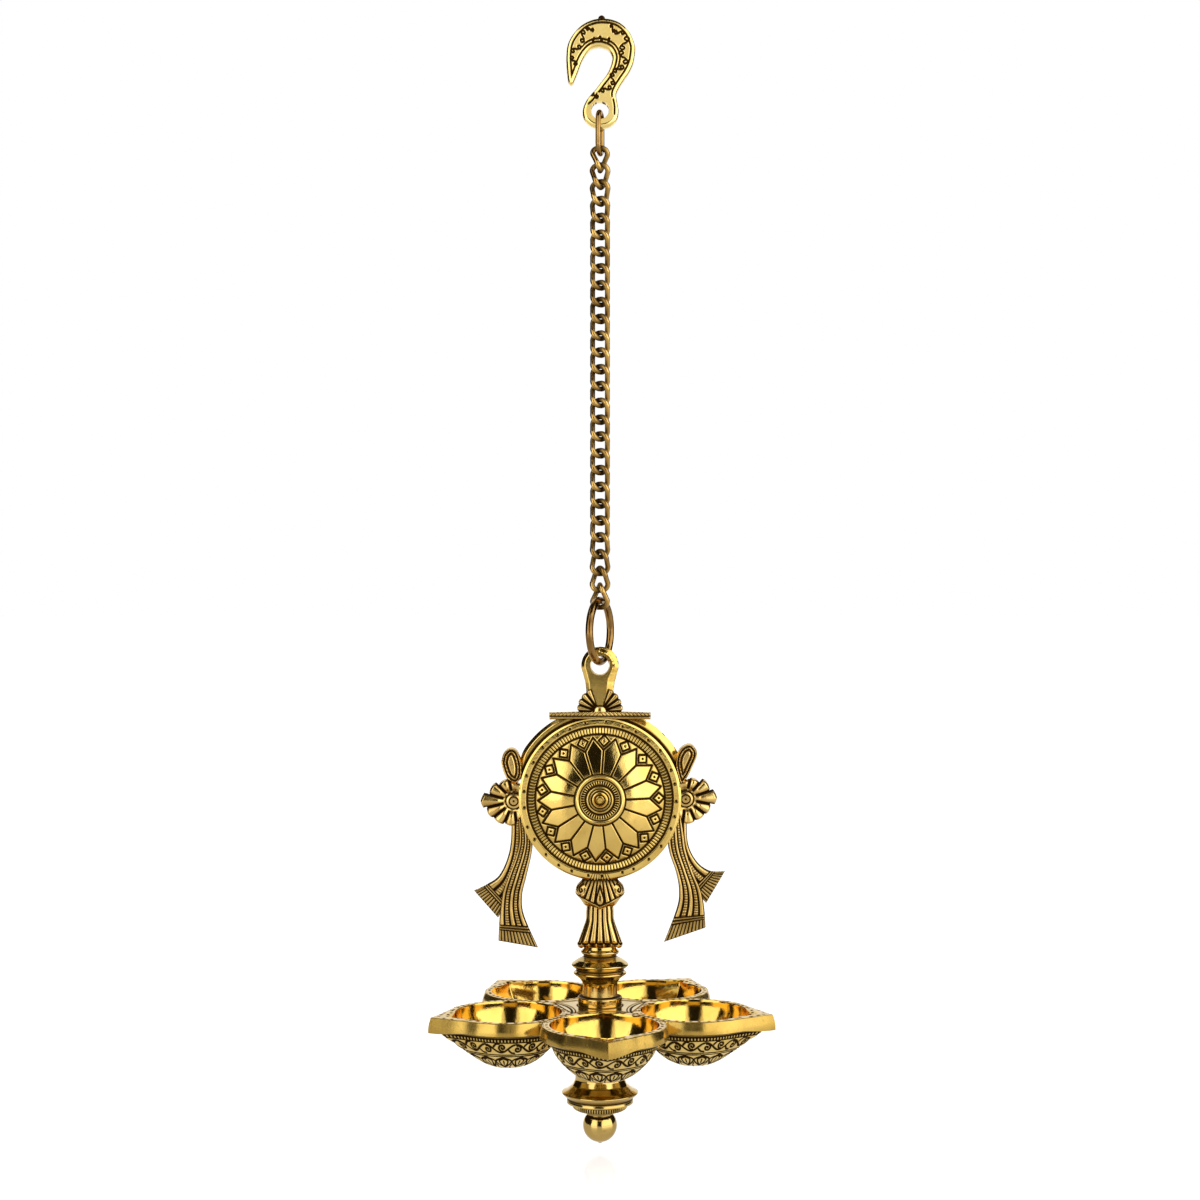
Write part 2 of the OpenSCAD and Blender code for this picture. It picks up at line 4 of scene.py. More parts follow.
import bmesh
import bpy
import numpy as np
from mathutils import Matrix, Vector
from mathutils.kdtree import KDTree


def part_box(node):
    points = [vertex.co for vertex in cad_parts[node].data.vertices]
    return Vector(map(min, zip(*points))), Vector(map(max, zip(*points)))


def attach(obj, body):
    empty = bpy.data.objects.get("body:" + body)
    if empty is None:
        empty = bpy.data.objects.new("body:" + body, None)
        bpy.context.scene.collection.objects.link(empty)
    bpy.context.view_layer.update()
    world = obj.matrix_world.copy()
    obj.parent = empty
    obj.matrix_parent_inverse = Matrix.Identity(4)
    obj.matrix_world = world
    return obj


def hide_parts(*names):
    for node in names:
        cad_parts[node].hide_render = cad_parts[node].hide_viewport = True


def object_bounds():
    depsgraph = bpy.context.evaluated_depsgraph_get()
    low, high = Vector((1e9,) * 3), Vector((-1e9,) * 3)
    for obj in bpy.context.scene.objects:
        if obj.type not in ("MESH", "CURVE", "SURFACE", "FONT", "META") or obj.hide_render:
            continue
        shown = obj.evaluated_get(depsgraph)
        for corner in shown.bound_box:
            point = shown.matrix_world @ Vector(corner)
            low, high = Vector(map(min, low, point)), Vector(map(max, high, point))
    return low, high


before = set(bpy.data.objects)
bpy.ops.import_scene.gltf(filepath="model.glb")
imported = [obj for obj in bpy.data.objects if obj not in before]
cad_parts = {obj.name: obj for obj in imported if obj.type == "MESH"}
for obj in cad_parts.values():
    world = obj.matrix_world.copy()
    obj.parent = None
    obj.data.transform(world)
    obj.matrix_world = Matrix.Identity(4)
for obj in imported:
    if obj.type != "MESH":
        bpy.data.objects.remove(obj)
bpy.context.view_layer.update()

# Hook: a flat brass casting like a question mark, with a bowl that hangs on a nail and a drilled eye below.
# Its edges are filed round. A line is cut along both edges and curls are cut between them, and old patina
# has stayed black in the cuts.
MM = 0.001


class Tone:
    """A socket of a material that takes plain maths."""

    def __init__(self, tree, socket):
        self.tree = tree
        self.socket = socket

    def node(self, kind, inputs, output=0, **settings):
        made = self.tree.nodes.new(kind)
        for key, value in settings.items():
            setattr(made, key, value)
        for key, value in inputs.items():
            if isinstance(value, Tone):
                self.tree.links.new(value.socket, made.inputs[key])
            else:
                made.inputs[key].default_value = value
        return Tone(self.tree, made.outputs[output])

    def maths(self, operation, a, b, clamp=False):
        return self.node("ShaderNodeMath", {0: a, 1: b}, operation=operation, use_clamp=clamp)

    def mix(self, a, b):
        return self.node("ShaderNodeMix", {"Factor": self, 6: a, 7: b}, 2, data_type="RGBA")

    def __add__(self, other):
        return self.maths("ADD", self, other)

    def __radd__(self, other):
        return self.maths("ADD", other, self)

    def __sub__(self, other):
        return self.maths("SUBTRACT", self, other)

    def __rsub__(self, other):
        return self.maths("SUBTRACT", other, self)

    def __mul__(self, other):
        return self.maths("MULTIPLY", self, other)

    def __rmul__(self, other):
        return self.maths("MULTIPLY", other, self)

    def __pow__(self, other):
        return self.maths("POWER", self, other)


def brass(name, light, deep, rough, inner=None):
    """Brass with cloudy wear and fine scratches, and black-brown patina and painted shade where the mesh is
    marked dark. Given inner, it also paints shade that deepens towards the lamp's axis.
    """
    # One black-brown for both the patina in the cuts and the painted shade that the dark marks carry.
    patina_and_shade_brown = (0.026, 0.01, 0.001, 1)
    made = bpy.data.materials.new(name)
    made.use_nodes = True
    tree = made.node_tree
    shader = tree.nodes["Principled BSDF"]
    place = Tone(tree, tree.nodes.new("ShaderNodeTexCoord").outputs["Object"])
    marked = place.node("ShaderNodeAttribute", {}, "Fac", attribute_name="dark")
    cloud = place.node("ShaderNodeTexNoise", {"Vector": place, "Scale": 70, "Detail": 5})
    grain = place.node("ShaderNodeTexNoise", {"Vector": place, "Scale": 1100, "Detail": 3})
    spots = place.node("ShaderNodeTexNoise", {"Vector": place, "Scale": 260, "Detail": 4})
    patina_and_shade = marked * (1.25 + grain * 0.4)
    # Painted shade: with inner, the colour darkens towards the lamp's axis, where the chain's links cross.
    if inner:
        x = place.node("ShaderNodeSeparateXYZ", {0: place}, "X")
        y = place.node("ShaderNodeSeparateXYZ", {0: place}, "Y")
        out = (x * x + y * y) ** 0.5
        near, far = inner
        patina_and_shade = patina_and_shade + place.maths("MULTIPLY", (far - out) * (1 / (far - near)), 0.9, True)
    stain = place.maths("MULTIPLY", (spots - 0.62) * 6, 0.5, True)
    patina_and_shade = place.maths("ADD", patina_and_shade, stain * 0.45, True)
    worn = place.maths("MULTIPLY", (cloud - 0.35) * 3, 1.0, True)
    colour = patina_and_shade.mix(worn.mix(light, deep), patina_and_shade_brown)
    tree.links.new(colour.socket, shader.inputs["Base Color"])
    tree.links.new((rough + grain * 0.05 + cloud * 0.04 + patina_and_shade * 0.4).socket, shader.inputs["Roughness"])
    tree.links.new((1 - patina_and_shade * patina_and_shade * 0.7).socket, shader.inputs["Metallic"])
    shader.inputs["Specular IOR Level"].default_value = 0
    height = spots + grain * 0.4
    bump = place.node("ShaderNodeBump", {"Strength": 0.12, "Distance": 0.0004, "Height": height}, "Normal")
    tree.links.new(bump.socket, shader.inputs["Normal"])
    return made


def smooth(low, high, x):
    """Rises softly from 0 at low to 1 at high."""
    t = np.clip((x - low) / (high - low), 0, 1)
    return t * t * (3 - 2 * t)


def stroke(low, high, away):
    """A cut that is full up to low from its middle and fades out at high."""
    return 1 - smooth(low, high, away)


def curve(points, closed=False, gap=0.1):
    """Marks at an even gap on a soft curve through points."""
    p = np.array(points, float)
    p = np.concatenate([p[-1:], p, p[:2]] if closed else [p[:1], p, p[-1:]])
    marks = []
    for a, b, c, d in zip(p, p[1:], p[2:], p[3:]):
        count = max(2, int(np.linalg.norm(c[:2] - b[:2]) / gap))
        t = np.linspace(0, 1, count, endpoint=False)[:, None]
        bend = (2 * a - 5 * b + 4 * c - d) * t**2 + (3 * b - a - 3 * c + d) * t**3
        marks.append(b + ((c - a) * t + bend) / 2)
    return np.concatenate(marks if closed else marks + [p[-1:]])


def squiggle(x, z, size, turn, hand):
    """An S-shaped stroke with curled ends."""
    half = [(0.5, 0.35), (0.15, 0.8), (0.6, 1.05), (0.95, 0.6), (0.35, 0.1)]
    marks = curve(half + [(-u, -v) for u, v in half[::-1]], gap=0.06) * (hand * size, size)
    c, s = math.cos(math.radians(turn)), math.sin(math.radians(turn))
    return marks @ np.array([(c, s), (-s, c)]) + (x, z)


def finder(marks):
    """A tree that finds the mark next to a point."""
    tree = KDTree(len(marks))
    for i, (x, z) in enumerate(marks):
        tree.insert((x, z, 0), i)
    tree.balance()
    return tree


def nearness(x, z, marks):
    """Distance of each point from the nearest mark."""
    tree = finder(marks)
    return np.array([tree.find((px, pz, 0))[2] for px, pz in zip(x, z)])


def inside(x, z, loops):
    """Whether each point lies inside an outline and outside its holes."""
    odd = np.zeros(len(x), bool)
    for loop in loops:
        for (x0, z0), (x1, z1) in zip(loop, np.roll(loop, -1, 0)):
            if z0 != z1:
                odd ^= ((z0 > z) != (z1 > z)) & (x < x0 + (z - z0) * (x1 - x0) / (z1 - z0))
    return odd


def relief(loops, step, front, back, mid=0.0, soft=1.0, at=(0, 0), flat=False):
    """A casting with a flat outline: a fine grid is cut to the outline and its holes, and front and back
    set its two faces. The outline is rounded by soft, and holes stay sharp."""
    snap = step * 0.4
    hole_soft = 0.15
    edge = np.concatenate(loops)
    tree = finder(edge)
    low = edge.min(0) - step / 2
    count = np.ceil((edge.max(0) - low) / step).astype(int) + 1
    bm = bmesh.new()
    dark = bm.verts.layers.float.new("dark")
    mark = bm.verts.layers.int.new("mark")
    bmesh.ops.create_grid(bm, x_segments=int(count[0]), y_segments=int(count[1]), size=0.5)
    spots = (np.array([vert.co.xy for vert in bm.verts]) + 0.5) * count * step + low
    for vert, spot in zip(bm.verts, spots):
        vert.co = (spot[0], spot[1], 0)
    within = inside(spots[:, 0], spots[:, 1], [loop[::3] for loop in loops])
    far = [vert for vert, hit in zip(bm.verts, within) if not hit and tree.find(vert.co)[2] > snap]
    bmesh.ops.delete(bm, geom=far, context="VERTS")
    bmesh.ops.delete(bm, geom=[vert for vert in bm.verts if not vert.link_faces], context="VERTS")
    for i, vert in enumerate(bm.verts):
        vert[mark] = i
        if vert.is_boundary:
            vert.co = tree.find(vert.co)[0]
    x, z = np.array([vert.co.xy for vert in bm.verts]).T
    depth = nearness(x, z, edge)
    away = [nearness(x, z, loop) / wide for loop, wide in zip(loops, (soft, hole_soft))]
    bulge = np.sqrt(1 - (1 - np.clip(np.min(away, 0), 0, 1)) ** 2)
    first = bm.verts[:]
    twins = bmesh.ops.duplicate(bm, geom=first + bm.edges[:] + bm.faces[:])["geom"]
    second = [item for item in twins if isinstance(item, bmesh.types.BMVert)]
    for verts, face in ((first, front), (second, back)):
        y, tone = face(x, z, depth)
        y = mid + (y - mid) * bulge
        spots = np.stack([x + at[0], z + at[1], y] if flat else [x + at[0], y, z + at[1]], 1) * MM
        for vert in verts:
            vert.co = spots[vert[mark]]
            vert[dark] = tone[vert[mark]]
    bm.verts.layers.int.remove(mark)
    return bm


def piece(bm, name, look, body, node):
    """Closes the mesh, shades it and sets it on its body in place of the named solid."""
    weld = 0.002 * MM
    crease = math.radians(55)
    bmesh.ops.remove_doubles(bm, verts=bm.verts, dist=weld)
    bmesh.ops.recalc_face_normals(bm, faces=bm.faces)
    for face in bm.faces:
        face.smooth = True
    mesh = bpy.data.meshes.new(name)
    bm.to_mesh(mesh)
    bm.free()
    mesh.set_sharp_from_angle(angle=crease)
    mesh.materials.append(look)
    made = bpy.data.objects.new(name, mesh)
    bpy.context.scene.collection.objects.link(made)
    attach(made, body)
    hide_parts(node)


pale_brass = brass("pale_brass", (0.96, 0.73, 0.26, 1), (0.86, 0.6, 0.17, 1), 0.07)
hook_edge = curve([
    (-14.6, -12.9), (-15.7, -11.9), (-16.2, -9.8), (-16.6, -5.9), (-16.95, 0.85), (-16.15, 7.55),
    (-13.3, 12.8), (-9, 17.2), (-3.7, 19.75), (1.2, 20.4), (6.2, 19.8), (10.8, 17.7), (14.95, 13.3),
    (17.35, 7.55), (17.6, 3.75), (16.65, -2), (14.5, -6.8), (11.6, -11.1), (9.2, -15), (8.2, -17.8),
    (8.7, -21.65), (9.4, -26), (8.3, -30.6), (5.2, -33.5), (0.5, -34.7), (-3.3, -34), (-6.4, -32),
    (-8.3, -29.3), (-8.7, -25.5), (-7.5, -21.65), (-4.9, -17.8), (-2.3, -15), (0.1, -11.8),
    (2.5, -8.7), (4.65, -4.9), (5.85, -1.05), (5.9, 1.6), (4.1, 4.6), (0.1, 6.1), (-3.7, 5.4),
    (-6.6, 2.75), (-8.95, -1.05), (-11.2, -7), (-12.6, -10.4), (-13.5, -12.3),
], True)
eye_drop = 25.6
eye_hole_r = 4.3
eye_plain_r = 8.8
hook_half_t = 3.25
filed_w = 2.3
filed_drop = 1.8
bowl_line_in = 3.9
bowl_line_r = 11
hook_cut_deep = 0.4
turns = np.linspace(0, 2 * np.pi, 240, endpoint=False)
eye_hole = np.stack([eye_hole_r * np.cos(turns), eye_hole_r * np.sin(turns) - eye_drop], 1)
hook_cuts = np.concatenate([
    squiggle(*mark)
    for mark in [
        (-13.1, -1.2, 1.9, -8, -1), (-12, 4.8, 2.1, -22, 1), (-8.6, 11, 2.3, -45, -1),
        (-5, 14.6, 1.5, -66, 1), (-3.2, 9.3, 0.8, 20, 1), (0.4, 9.9, 0.9, -10, -1),
        (4.4, 9.2, 0.8, 30, 1), (6.2, 15, 1.5, 64, 1), (9.6, 13, 1.9, 48, -1),
        (12.2, 7.6, 2.8, 12, 1), (11.6, 0.6, 2.7, -12, -1), (9.2, -5.2, 2.2, -26, 1),
        (6.2, -10.2, 2.2, -34, -1), (3, -15.2, 2.1, -30, 1), (-2.6, -18.4, 1.5, 20, -1),
    ]
] + [
    curve([(-5.6, -22.4), (-3.6, -20.6), (-1.6, -17.6)]),
    curve([(6.6, -20.4), (7.2, -23.6), (7.2, -27.6)]),
])


def filed(edge, wide):
    """Drop of a filed edge: 1 at the edge and 0 from wide on."""
    return 1 - np.sqrt(1 - (1 - np.clip(edge / wide, 0, 1)) ** 2)


def hook_face(x, z, depth):
    none = 9
    round_eye = np.hypot(x, z + eye_drop)
    edge = nearness(x, z, hook_edge)
    edge_line = np.where(round_eye > eye_plain_r, np.abs(edge - filed_w), none)
    round_bowl = (np.hypot(x, z) < bowl_line_r) & (z > -6)
    bowl_line = np.where(round_bowl, np.abs(edge - bowl_line_in), none)
    lines = np.minimum(edge_line, bowl_line)
    cut = stroke(0.3, 0.65, np.minimum(lines, nearness(x, z, hook_cuts)))
    # Painted shade: the drilled wall of the eye is darkened all round, as if in shadow.
    wall = stroke(0.05, 0.2, round_eye - eye_hole_r)
    y = -hook_half_t + filed_drop * filed(edge, filed_w) + hook_cut_deep * cut
    return y, np.maximum(cut, 0.9 * wall)


def hook_rear(x, z, depth):
    return hook_half_t - filed_drop * filed(nearness(x, z, hook_edge), filed_w), 0.1 + 0 * x


hook_mesh = relief([hook_edge, eye_hole], 0.22, hook_face, hook_rear, 0, 0.4)
nub_r = 1.9
nub_x = 0.8
nub_z = 20
nub_tone = 0.75
nub = bmesh.ops.create_uvsphere(hook_mesh, u_segments=20, v_segments=12, radius=nub_r * MM)["verts"]
for vert in nub:
    vert.co.x += nub_x * MM
    vert.co.z = vert.co.z * 1.2 + nub_z * MM
    vert[hook_mesh.verts.layers.float["dark"]] = nub_tone
piece(hook_mesh, "cast_hook", pale_brass, "hook", "hook")

# Chain: one long oval link in the hook's eye, twisted curb links of brass wire, and the heavy ring that
# holds the plate. They have a brown antique finish, and painted shade darkens each link towards the chain's
# middle, so the outside of each link stays bright.
# These two radii set where the painted shade darkens the links towards the lamp's axis.
antique = brass("antique_brass", (0.72, 0.45, 0.13, 1), (0.3, 0.17, 0.045, 1), 0.12, (0.0016, 0.0048))
ring_look = brass("antique_ring", (0.45, 0.26, 0.075, 1), (0.13, 0.065, 0.02, 1), 0.12)


def dress(node, look):
    """Sets the finish of a solid that is shown as it is."""
    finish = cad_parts[node].data.materials
    finish.clear()
    finish.append(look)


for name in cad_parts:
    if name.startswith("chain_link"):
        dress(name, antique)
dress("hook_link", ring_look)
dress("plate_ring", ring_look)

# Plate: one flat casting with the drilled lug, the shoulders and the round backing of the wheel. The lug has
# a wide filed bevel. Fan and rope bar are cast on its front.
wheel_low, wheel_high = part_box("wheel_disc")
wheel_z = (wheel_low.z + wheel_high.z) / 2 / MM
plate_half_t = 2.3
backing_r = 36.5
shoulder_out = 8.7
lug_z = 66.5
lug_r = 9.35
lug_hole_r = 4.4
lug_bevel_drop = 1.9
lug_bevel_right = 3.6
lug_bevel_left = 1.9
shadow_r = 40.6


def straight(points, closed=False, gap=0.1):
    """Marks at an even gap on the straight lines between points."""
    p = np.array(points, float)
    if closed:
        p = np.concatenate([p, p[:1]])
    marks = []
    for a, b in zip(p, p[1:]):
        t = np.linspace(0, 1, max(2, int(np.linalg.norm(b - a) / gap)), endpoint=False)[:, None]
        marks.append(a + (b - a) * t)
    return np.concatenate(marks + [p[-1:]])


half = []
for a in np.linspace(-90, 70.6, 160):
    reach = backing_r + shoulder_out * float(smooth(-6, 34, a))
    half.append((reach * math.cos(math.radians(a)), reach * math.sin(math.radians(a))))
half += [(7, 43.4), (6.9, 54), (7.3, 58), (8.3, 61.6)]
half += [(lug_r * np.cos(a), lug_z + lug_r * np.sin(a)) for a in np.radians(np.linspace(-24, 90, 40))]
plate_edge = straight(half + [(-x, z) for x, z in half[::-1]], True, 0.15)
lug_hole = np.stack([lug_hole_r * np.cos(turns), lug_hole_r * np.sin(turns) + lug_z], 1)


def plate_face(x, z, depth):
    hole = np.hypot(x, z - lug_z) - lug_hole_r
    wide = np.where(x > 0, lug_bevel_right, lug_bevel_left)
    bevel = lug_bevel_drop * stroke(0.1, wide, depth)
    bevel = np.where(hole < depth + 0.02, 0, bevel)
    # Painted shade: a faint band on the neck above the bar, and a painted shadow of the wheel's edge on the
    # plate.
    shade = 0.12 * smooth(44, 47, z) * stroke(55, 58, z)
    wheel_edge_shadow = stroke(0.5, 2.2, np.abs(np.hypot(x, z) - shadow_r)) * (z < 44)
    return -plate_half_t + bevel, np.maximum(shade, 0.9 * wheel_edge_shadow)


def plain_face(y, tone):
    """A flat face of one tone."""
    return lambda x, z, depth: (y + 0 * x, tone + 0 * x)


plate_rear = plain_face(plate_half_t, 0.15)
satin = brass("satin_brass", (0.87, 0.6, 0.17, 1), (0.68, 0.44, 0.1, 1), 0.14)
plate_mesh = relief([plate_edge, lug_hole], 0.4, plate_face, plate_rear, 0, 0.5, (0, wheel_z))
piece(plate_mesh, "cast_plate", satin, "lamp", "wheel_plate")

# Shell fan: a low shell cast on the front of the plate, with two wings of four lobes on both sides of a
# plain V, over a small half-round boss. Patina has stayed in the grooves between the lobes.
fan_z = 43.4
fan_r = 10.6
fan_foot = (10.4, -0.6)
fan_boss_r = 3.4
lobe_swell = 0.9
lobe_at = np.radians([2, 19, 36, 53, 70])
wing = [fan_foot]
for low, high in zip(lobe_at, lobe_at[1:]):
    for a in np.linspace(low, high, 16):
        reach = fan_r + a + lobe_swell * math.sin(math.pi * (a - low) / (high - low)) ** 0.6
        wing.append((reach * math.cos(a), reach * math.sin(a)))
wing += [(fan_boss_r * np.cos(a), fan_boss_r * np.sin(a)) for a in np.radians(np.linspace(70, 90, 8))]
fan_edge = straight(wing + [(-x, z) for x, z in wing[::-1]], True)


def fan_face(x, z, depth):
    reach = np.hypot(x, z)
    angle = np.arctan2(np.maximum(z, 0), np.abs(x))
    groove = np.min([np.abs(angle - edge) * reach for edge in lobe_at], 0)
    wide = 0.5 + reach * 0.11
    ridge = np.sqrt(1 - (1 - np.clip(groove / wide, 0, 1)) ** 2)
    boss = np.sqrt(np.clip(fan_boss_r**2 - reach**2, 0, None))
    y = np.where(reach < fan_boss_r, -3.4 - boss * 0.55, -3.3 - 1.5 * ridge)
    line = np.minimum(np.where(reach > fan_boss_r, groove, 9), np.abs(reach - fan_boss_r - 0.2))
    return y, stroke(0.4, 1.0, line)


on_plate = plain_face(-2, 0.2)
aged = brass("aged_brass", (0.88, 0.61, 0.21, 1), (0.56, 0.36, 0.1, 1), 0.15)
fan_mesh = relief([fan_edge], 0.2, fan_face, on_plate, -2.4, 0.9, (0, wheel_z + fan_z))
piece(fan_mesh, "shell_fan", aged, "lamp", "wheel_plate")

# Rope bar: a straight moulding cast across the plate under the fan. Slanting rope cuts run along its upper
# half, and the lines beside them are dark with patina.
bar_half = 25.3
bar_foot = 39.6
bar_line = 41.3
bar_top = 43.2
rope_pitch = 1.9
bar_side = [(bar_half, bar_foot), (bar_half, bar_top), (4, bar_top + 0.6)]
bar_edge = straight(bar_side + [(-x, z) for x, z in bar_side[::-1]], True)


def bar_face(x, z, depth):
    rope = np.abs(np.sin(np.pi * (np.abs(x) + 1.1 * z) / rope_pitch))
    cut = np.where((z > bar_line + 0.2) & (depth > 0.3), stroke(0.2, 0.6, rope), 0)
    cut = np.maximum(cut, stroke(0.15, 0.5, np.abs(z - bar_line)))
    # A shallow groove along the foot, darkened as painted shade where the bar meets the plate.
    cut = np.maximum(cut, stroke(0.1, 0.6, z - bar_foot))
    return -4.5 + 0.35 * cut - 0.2 * (z > bar_line + 0.1), cut


bar_mesh = relief([bar_edge], 0.22, bar_face, on_plate, -2.6, 0.7, (0, wheel_z))
piece(bar_mesh, "rope_bar", aged, "lamp", "wheel_plate")

# Wheel: a domed brass disc, riveted on the plate. Seventeen petals are cut into the polished dome with a
# diamond between every two tips, and round it run a milled band and a plain rim with punched dots.


def skin(bm, across_u, across_v, shape):
    """Lays a grid into the shape that a function of u and v from 0 to 1 gives, with its dark marks."""
    dark = bm.verts.layers.float.get("dark") or bm.verts.layers.float.new("dark")
    made = bmesh.ops.create_grid(bm, x_segments=across_u, y_segments=across_v, size=0.5)["verts"]
    u, v = np.array([vert.co.xy for vert in made]).T + 0.5
    *place, tone = shape(u, v)
    for vert, spot, value in zip(made, np.stack(place, 1) * MM, tone):
        vert.co = spot
        vert[dark] = value


random.seed(4)
petals = 17
petal_from = 12.6
petal_fork = 24.7
petal_tip = 31
diamond_at = 29.2
diamond_long = 2.8
diamond_wide = 2.7
boss_to = 12.65
boss_dots_at = 8.6
boss_dots_half = 1.1
dome_high = 4.4
band_from = 32.3
band_to = 36.1
wheel_r = 40.4
first_cut = 86
petal_cuts = []
petal_dots = []
for k in range(petals):
    a = math.radians(first_cut - k * 360 / petals)
    way = np.array([math.cos(a), math.sin(a)])
    across = np.array([-way[1], way[0]])
    petal_cuts.append(straight([way * petal_from, way * petal_fork]))
    for side in (-1, 1):
        b = a + side * math.pi / petals
        petal_cuts.append(straight([way * petal_fork, np.array([math.cos(b), math.sin(b)]) * petal_tip]))
    middle = way * diamond_at
    long = way * diamond_long
    wide = across * diamond_wide
    petal_cuts.append(straight([middle + long, middle + wide, middle - long, middle - wide], True))
    petal_dots.append(middle)
petal_cuts = np.concatenate(petal_cuts)
rim_dots = []
rim_dot_count = 29
for k in range(rim_dot_count):
    a = 2 * math.pi * (k + random.uniform(-0.2, 0.2)) / rim_dot_count
    reach = random.uniform(37.8, 38.8)
    rim_dots.append((reach * math.cos(a), reach * math.sin(a)))
radii = np.concatenate([
    np.linspace(0, 12.4, 34), np.linspace(12.6, 12.9, 3), np.linspace(13.1, 32.1, 70),
    np.linspace(band_from, band_to, 9), np.linspace(36.4, 40.1, 12), [wheel_r, wheel_r, 30, 0],
])


def wheel_shape(u, v):
    angle = 2 * math.pi * u
    row = np.round(v * (len(radii) - 1)).astype(int)
    rear = row > len(radii) - 4
    r = radii[row]
    x, z = r * np.cos(angle), r * np.sin(angle)
    t = np.clip((band_from - r) / (band_from - petal_from), 0, 1)
    high = np.where(r > band_to + 0.1, 3 - 0.5 * smooth(39.4, wheel_r, r) - 0.4 * stroke(36.2, 37, r), 2.5)
    high = np.where(r < 32.2, 2.6 + dome_high * np.sin(np.pi / 2 * t) - 0.25 * smooth(31, 32.2, r), high)
    rings = [(11.4, 0.9, 0.9), (6.2, 0.5, 0.6), (4.9, 0.45, 0.6), (3.5, 0.5, 0.7), (0, 1.6, 1.2)]
    ring = sum(tall * np.exp(-(((r - c) / wide) ** 2)) for c, wide, tall in rings)
    high = np.where(r < boss_to, 7.1 + ring, high)
    from_dots = r - boss_dots_at
    on_dots = np.abs(from_dots) < boss_dots_half
    dotted = np.where(on_dots, np.cos(46 * angle) * np.cos(np.pi / 2 * from_dots / boss_dots_half), 0)
    high = high + 0.25 * dotted
    dome = (r > 12.7) & (r < 32.6)
    cut = np.zeros(len(r))
    cut[dome] = stroke(0.3, 0.65, nearness(x[dome], z[dome], petal_cuts))
    cut[dome] = np.maximum(cut[dome], stroke(0.35, 0.7, nearness(x[dome], z[dome], petal_dots)))
    fold = np.abs((np.degrees(angle) - first_cut + 180 / petals) % (360 / petals) - 180 / petals)
    tip = petal_fork + (petal_tip - petal_fork) * fold / (180 / petals)
    diamond = np.abs(r - diamond_at) + np.radians(fold) * r < 2.75
    sunk = dome & (r > tip) & ~diamond
    high = high - 0.45 * cut - 0.3 * sunk
    band = (r > band_from) & (r < band_to + 0.05)
    mill = np.cos(144 * angle) * smooth(band_from, 32.9, r) * smooth(band_to, 35.5, r)
    high = np.where(band, high + 0.12 * mill, high)
    tone = np.maximum(cut, 0.15 * sunk)
    tone = np.where(band, np.clip(-0.15 - 1.2 * mill, 0, 0.95), tone)
    tone = np.maximum(tone, stroke(0.35, 0.8, np.abs(r - band_to - 0.1)))
    tone = np.maximum(tone, stroke(0.3, 0.7, np.abs(r - band_from)))
    for groove in (12.75, 10.2, 7, 5.6, 4.2, 2.4):
        tone = np.maximum(tone, 0.95 * stroke(0.2, 0.55, np.abs(r - groove)))
    tone = np.where(on_dots, np.maximum(tone, np.clip(0.75 - 0.9 * dotted, 0, 1)), tone)
    rim = (r > 36.7) & (r < 40)
    dots = stroke(0.45, 0.9, nearness(x[rim], z[rim], rim_dots))
    high[rim] -= 0.12 * dots
    tone[rim] = np.maximum(tone[rim], dots)
    y = np.where(rear, -1.9, -plate_half_t - high)
    return x, y, z + wheel_z, np.where(rear, 0.1, tone)


disc_mesh = bmesh.new()
skin(disc_mesh, 720, len(radii) - 1, wheel_shape)
polished = brass("polished_brass", (0.88, 0.62, 0.18, 1), (0.72, 0.48, 0.12, 1), 0.06)
piece(disc_mesh, "petal_wheel", polished, "lamp", "wheel_disc")
dress("disc_rivet", satin)

# Ribbon tails: two cast bands hang from behind each palmette, the front one long and the back one short.
# They have long pleats, every second one ticked, a double band near the end and a cut fringe.
sash_mid = -0.6
sash_back = 1.7
sash_back_tone = 0.15
pleat_high = 1.4
strand_high = 0.9
tail_front_share = 0.72


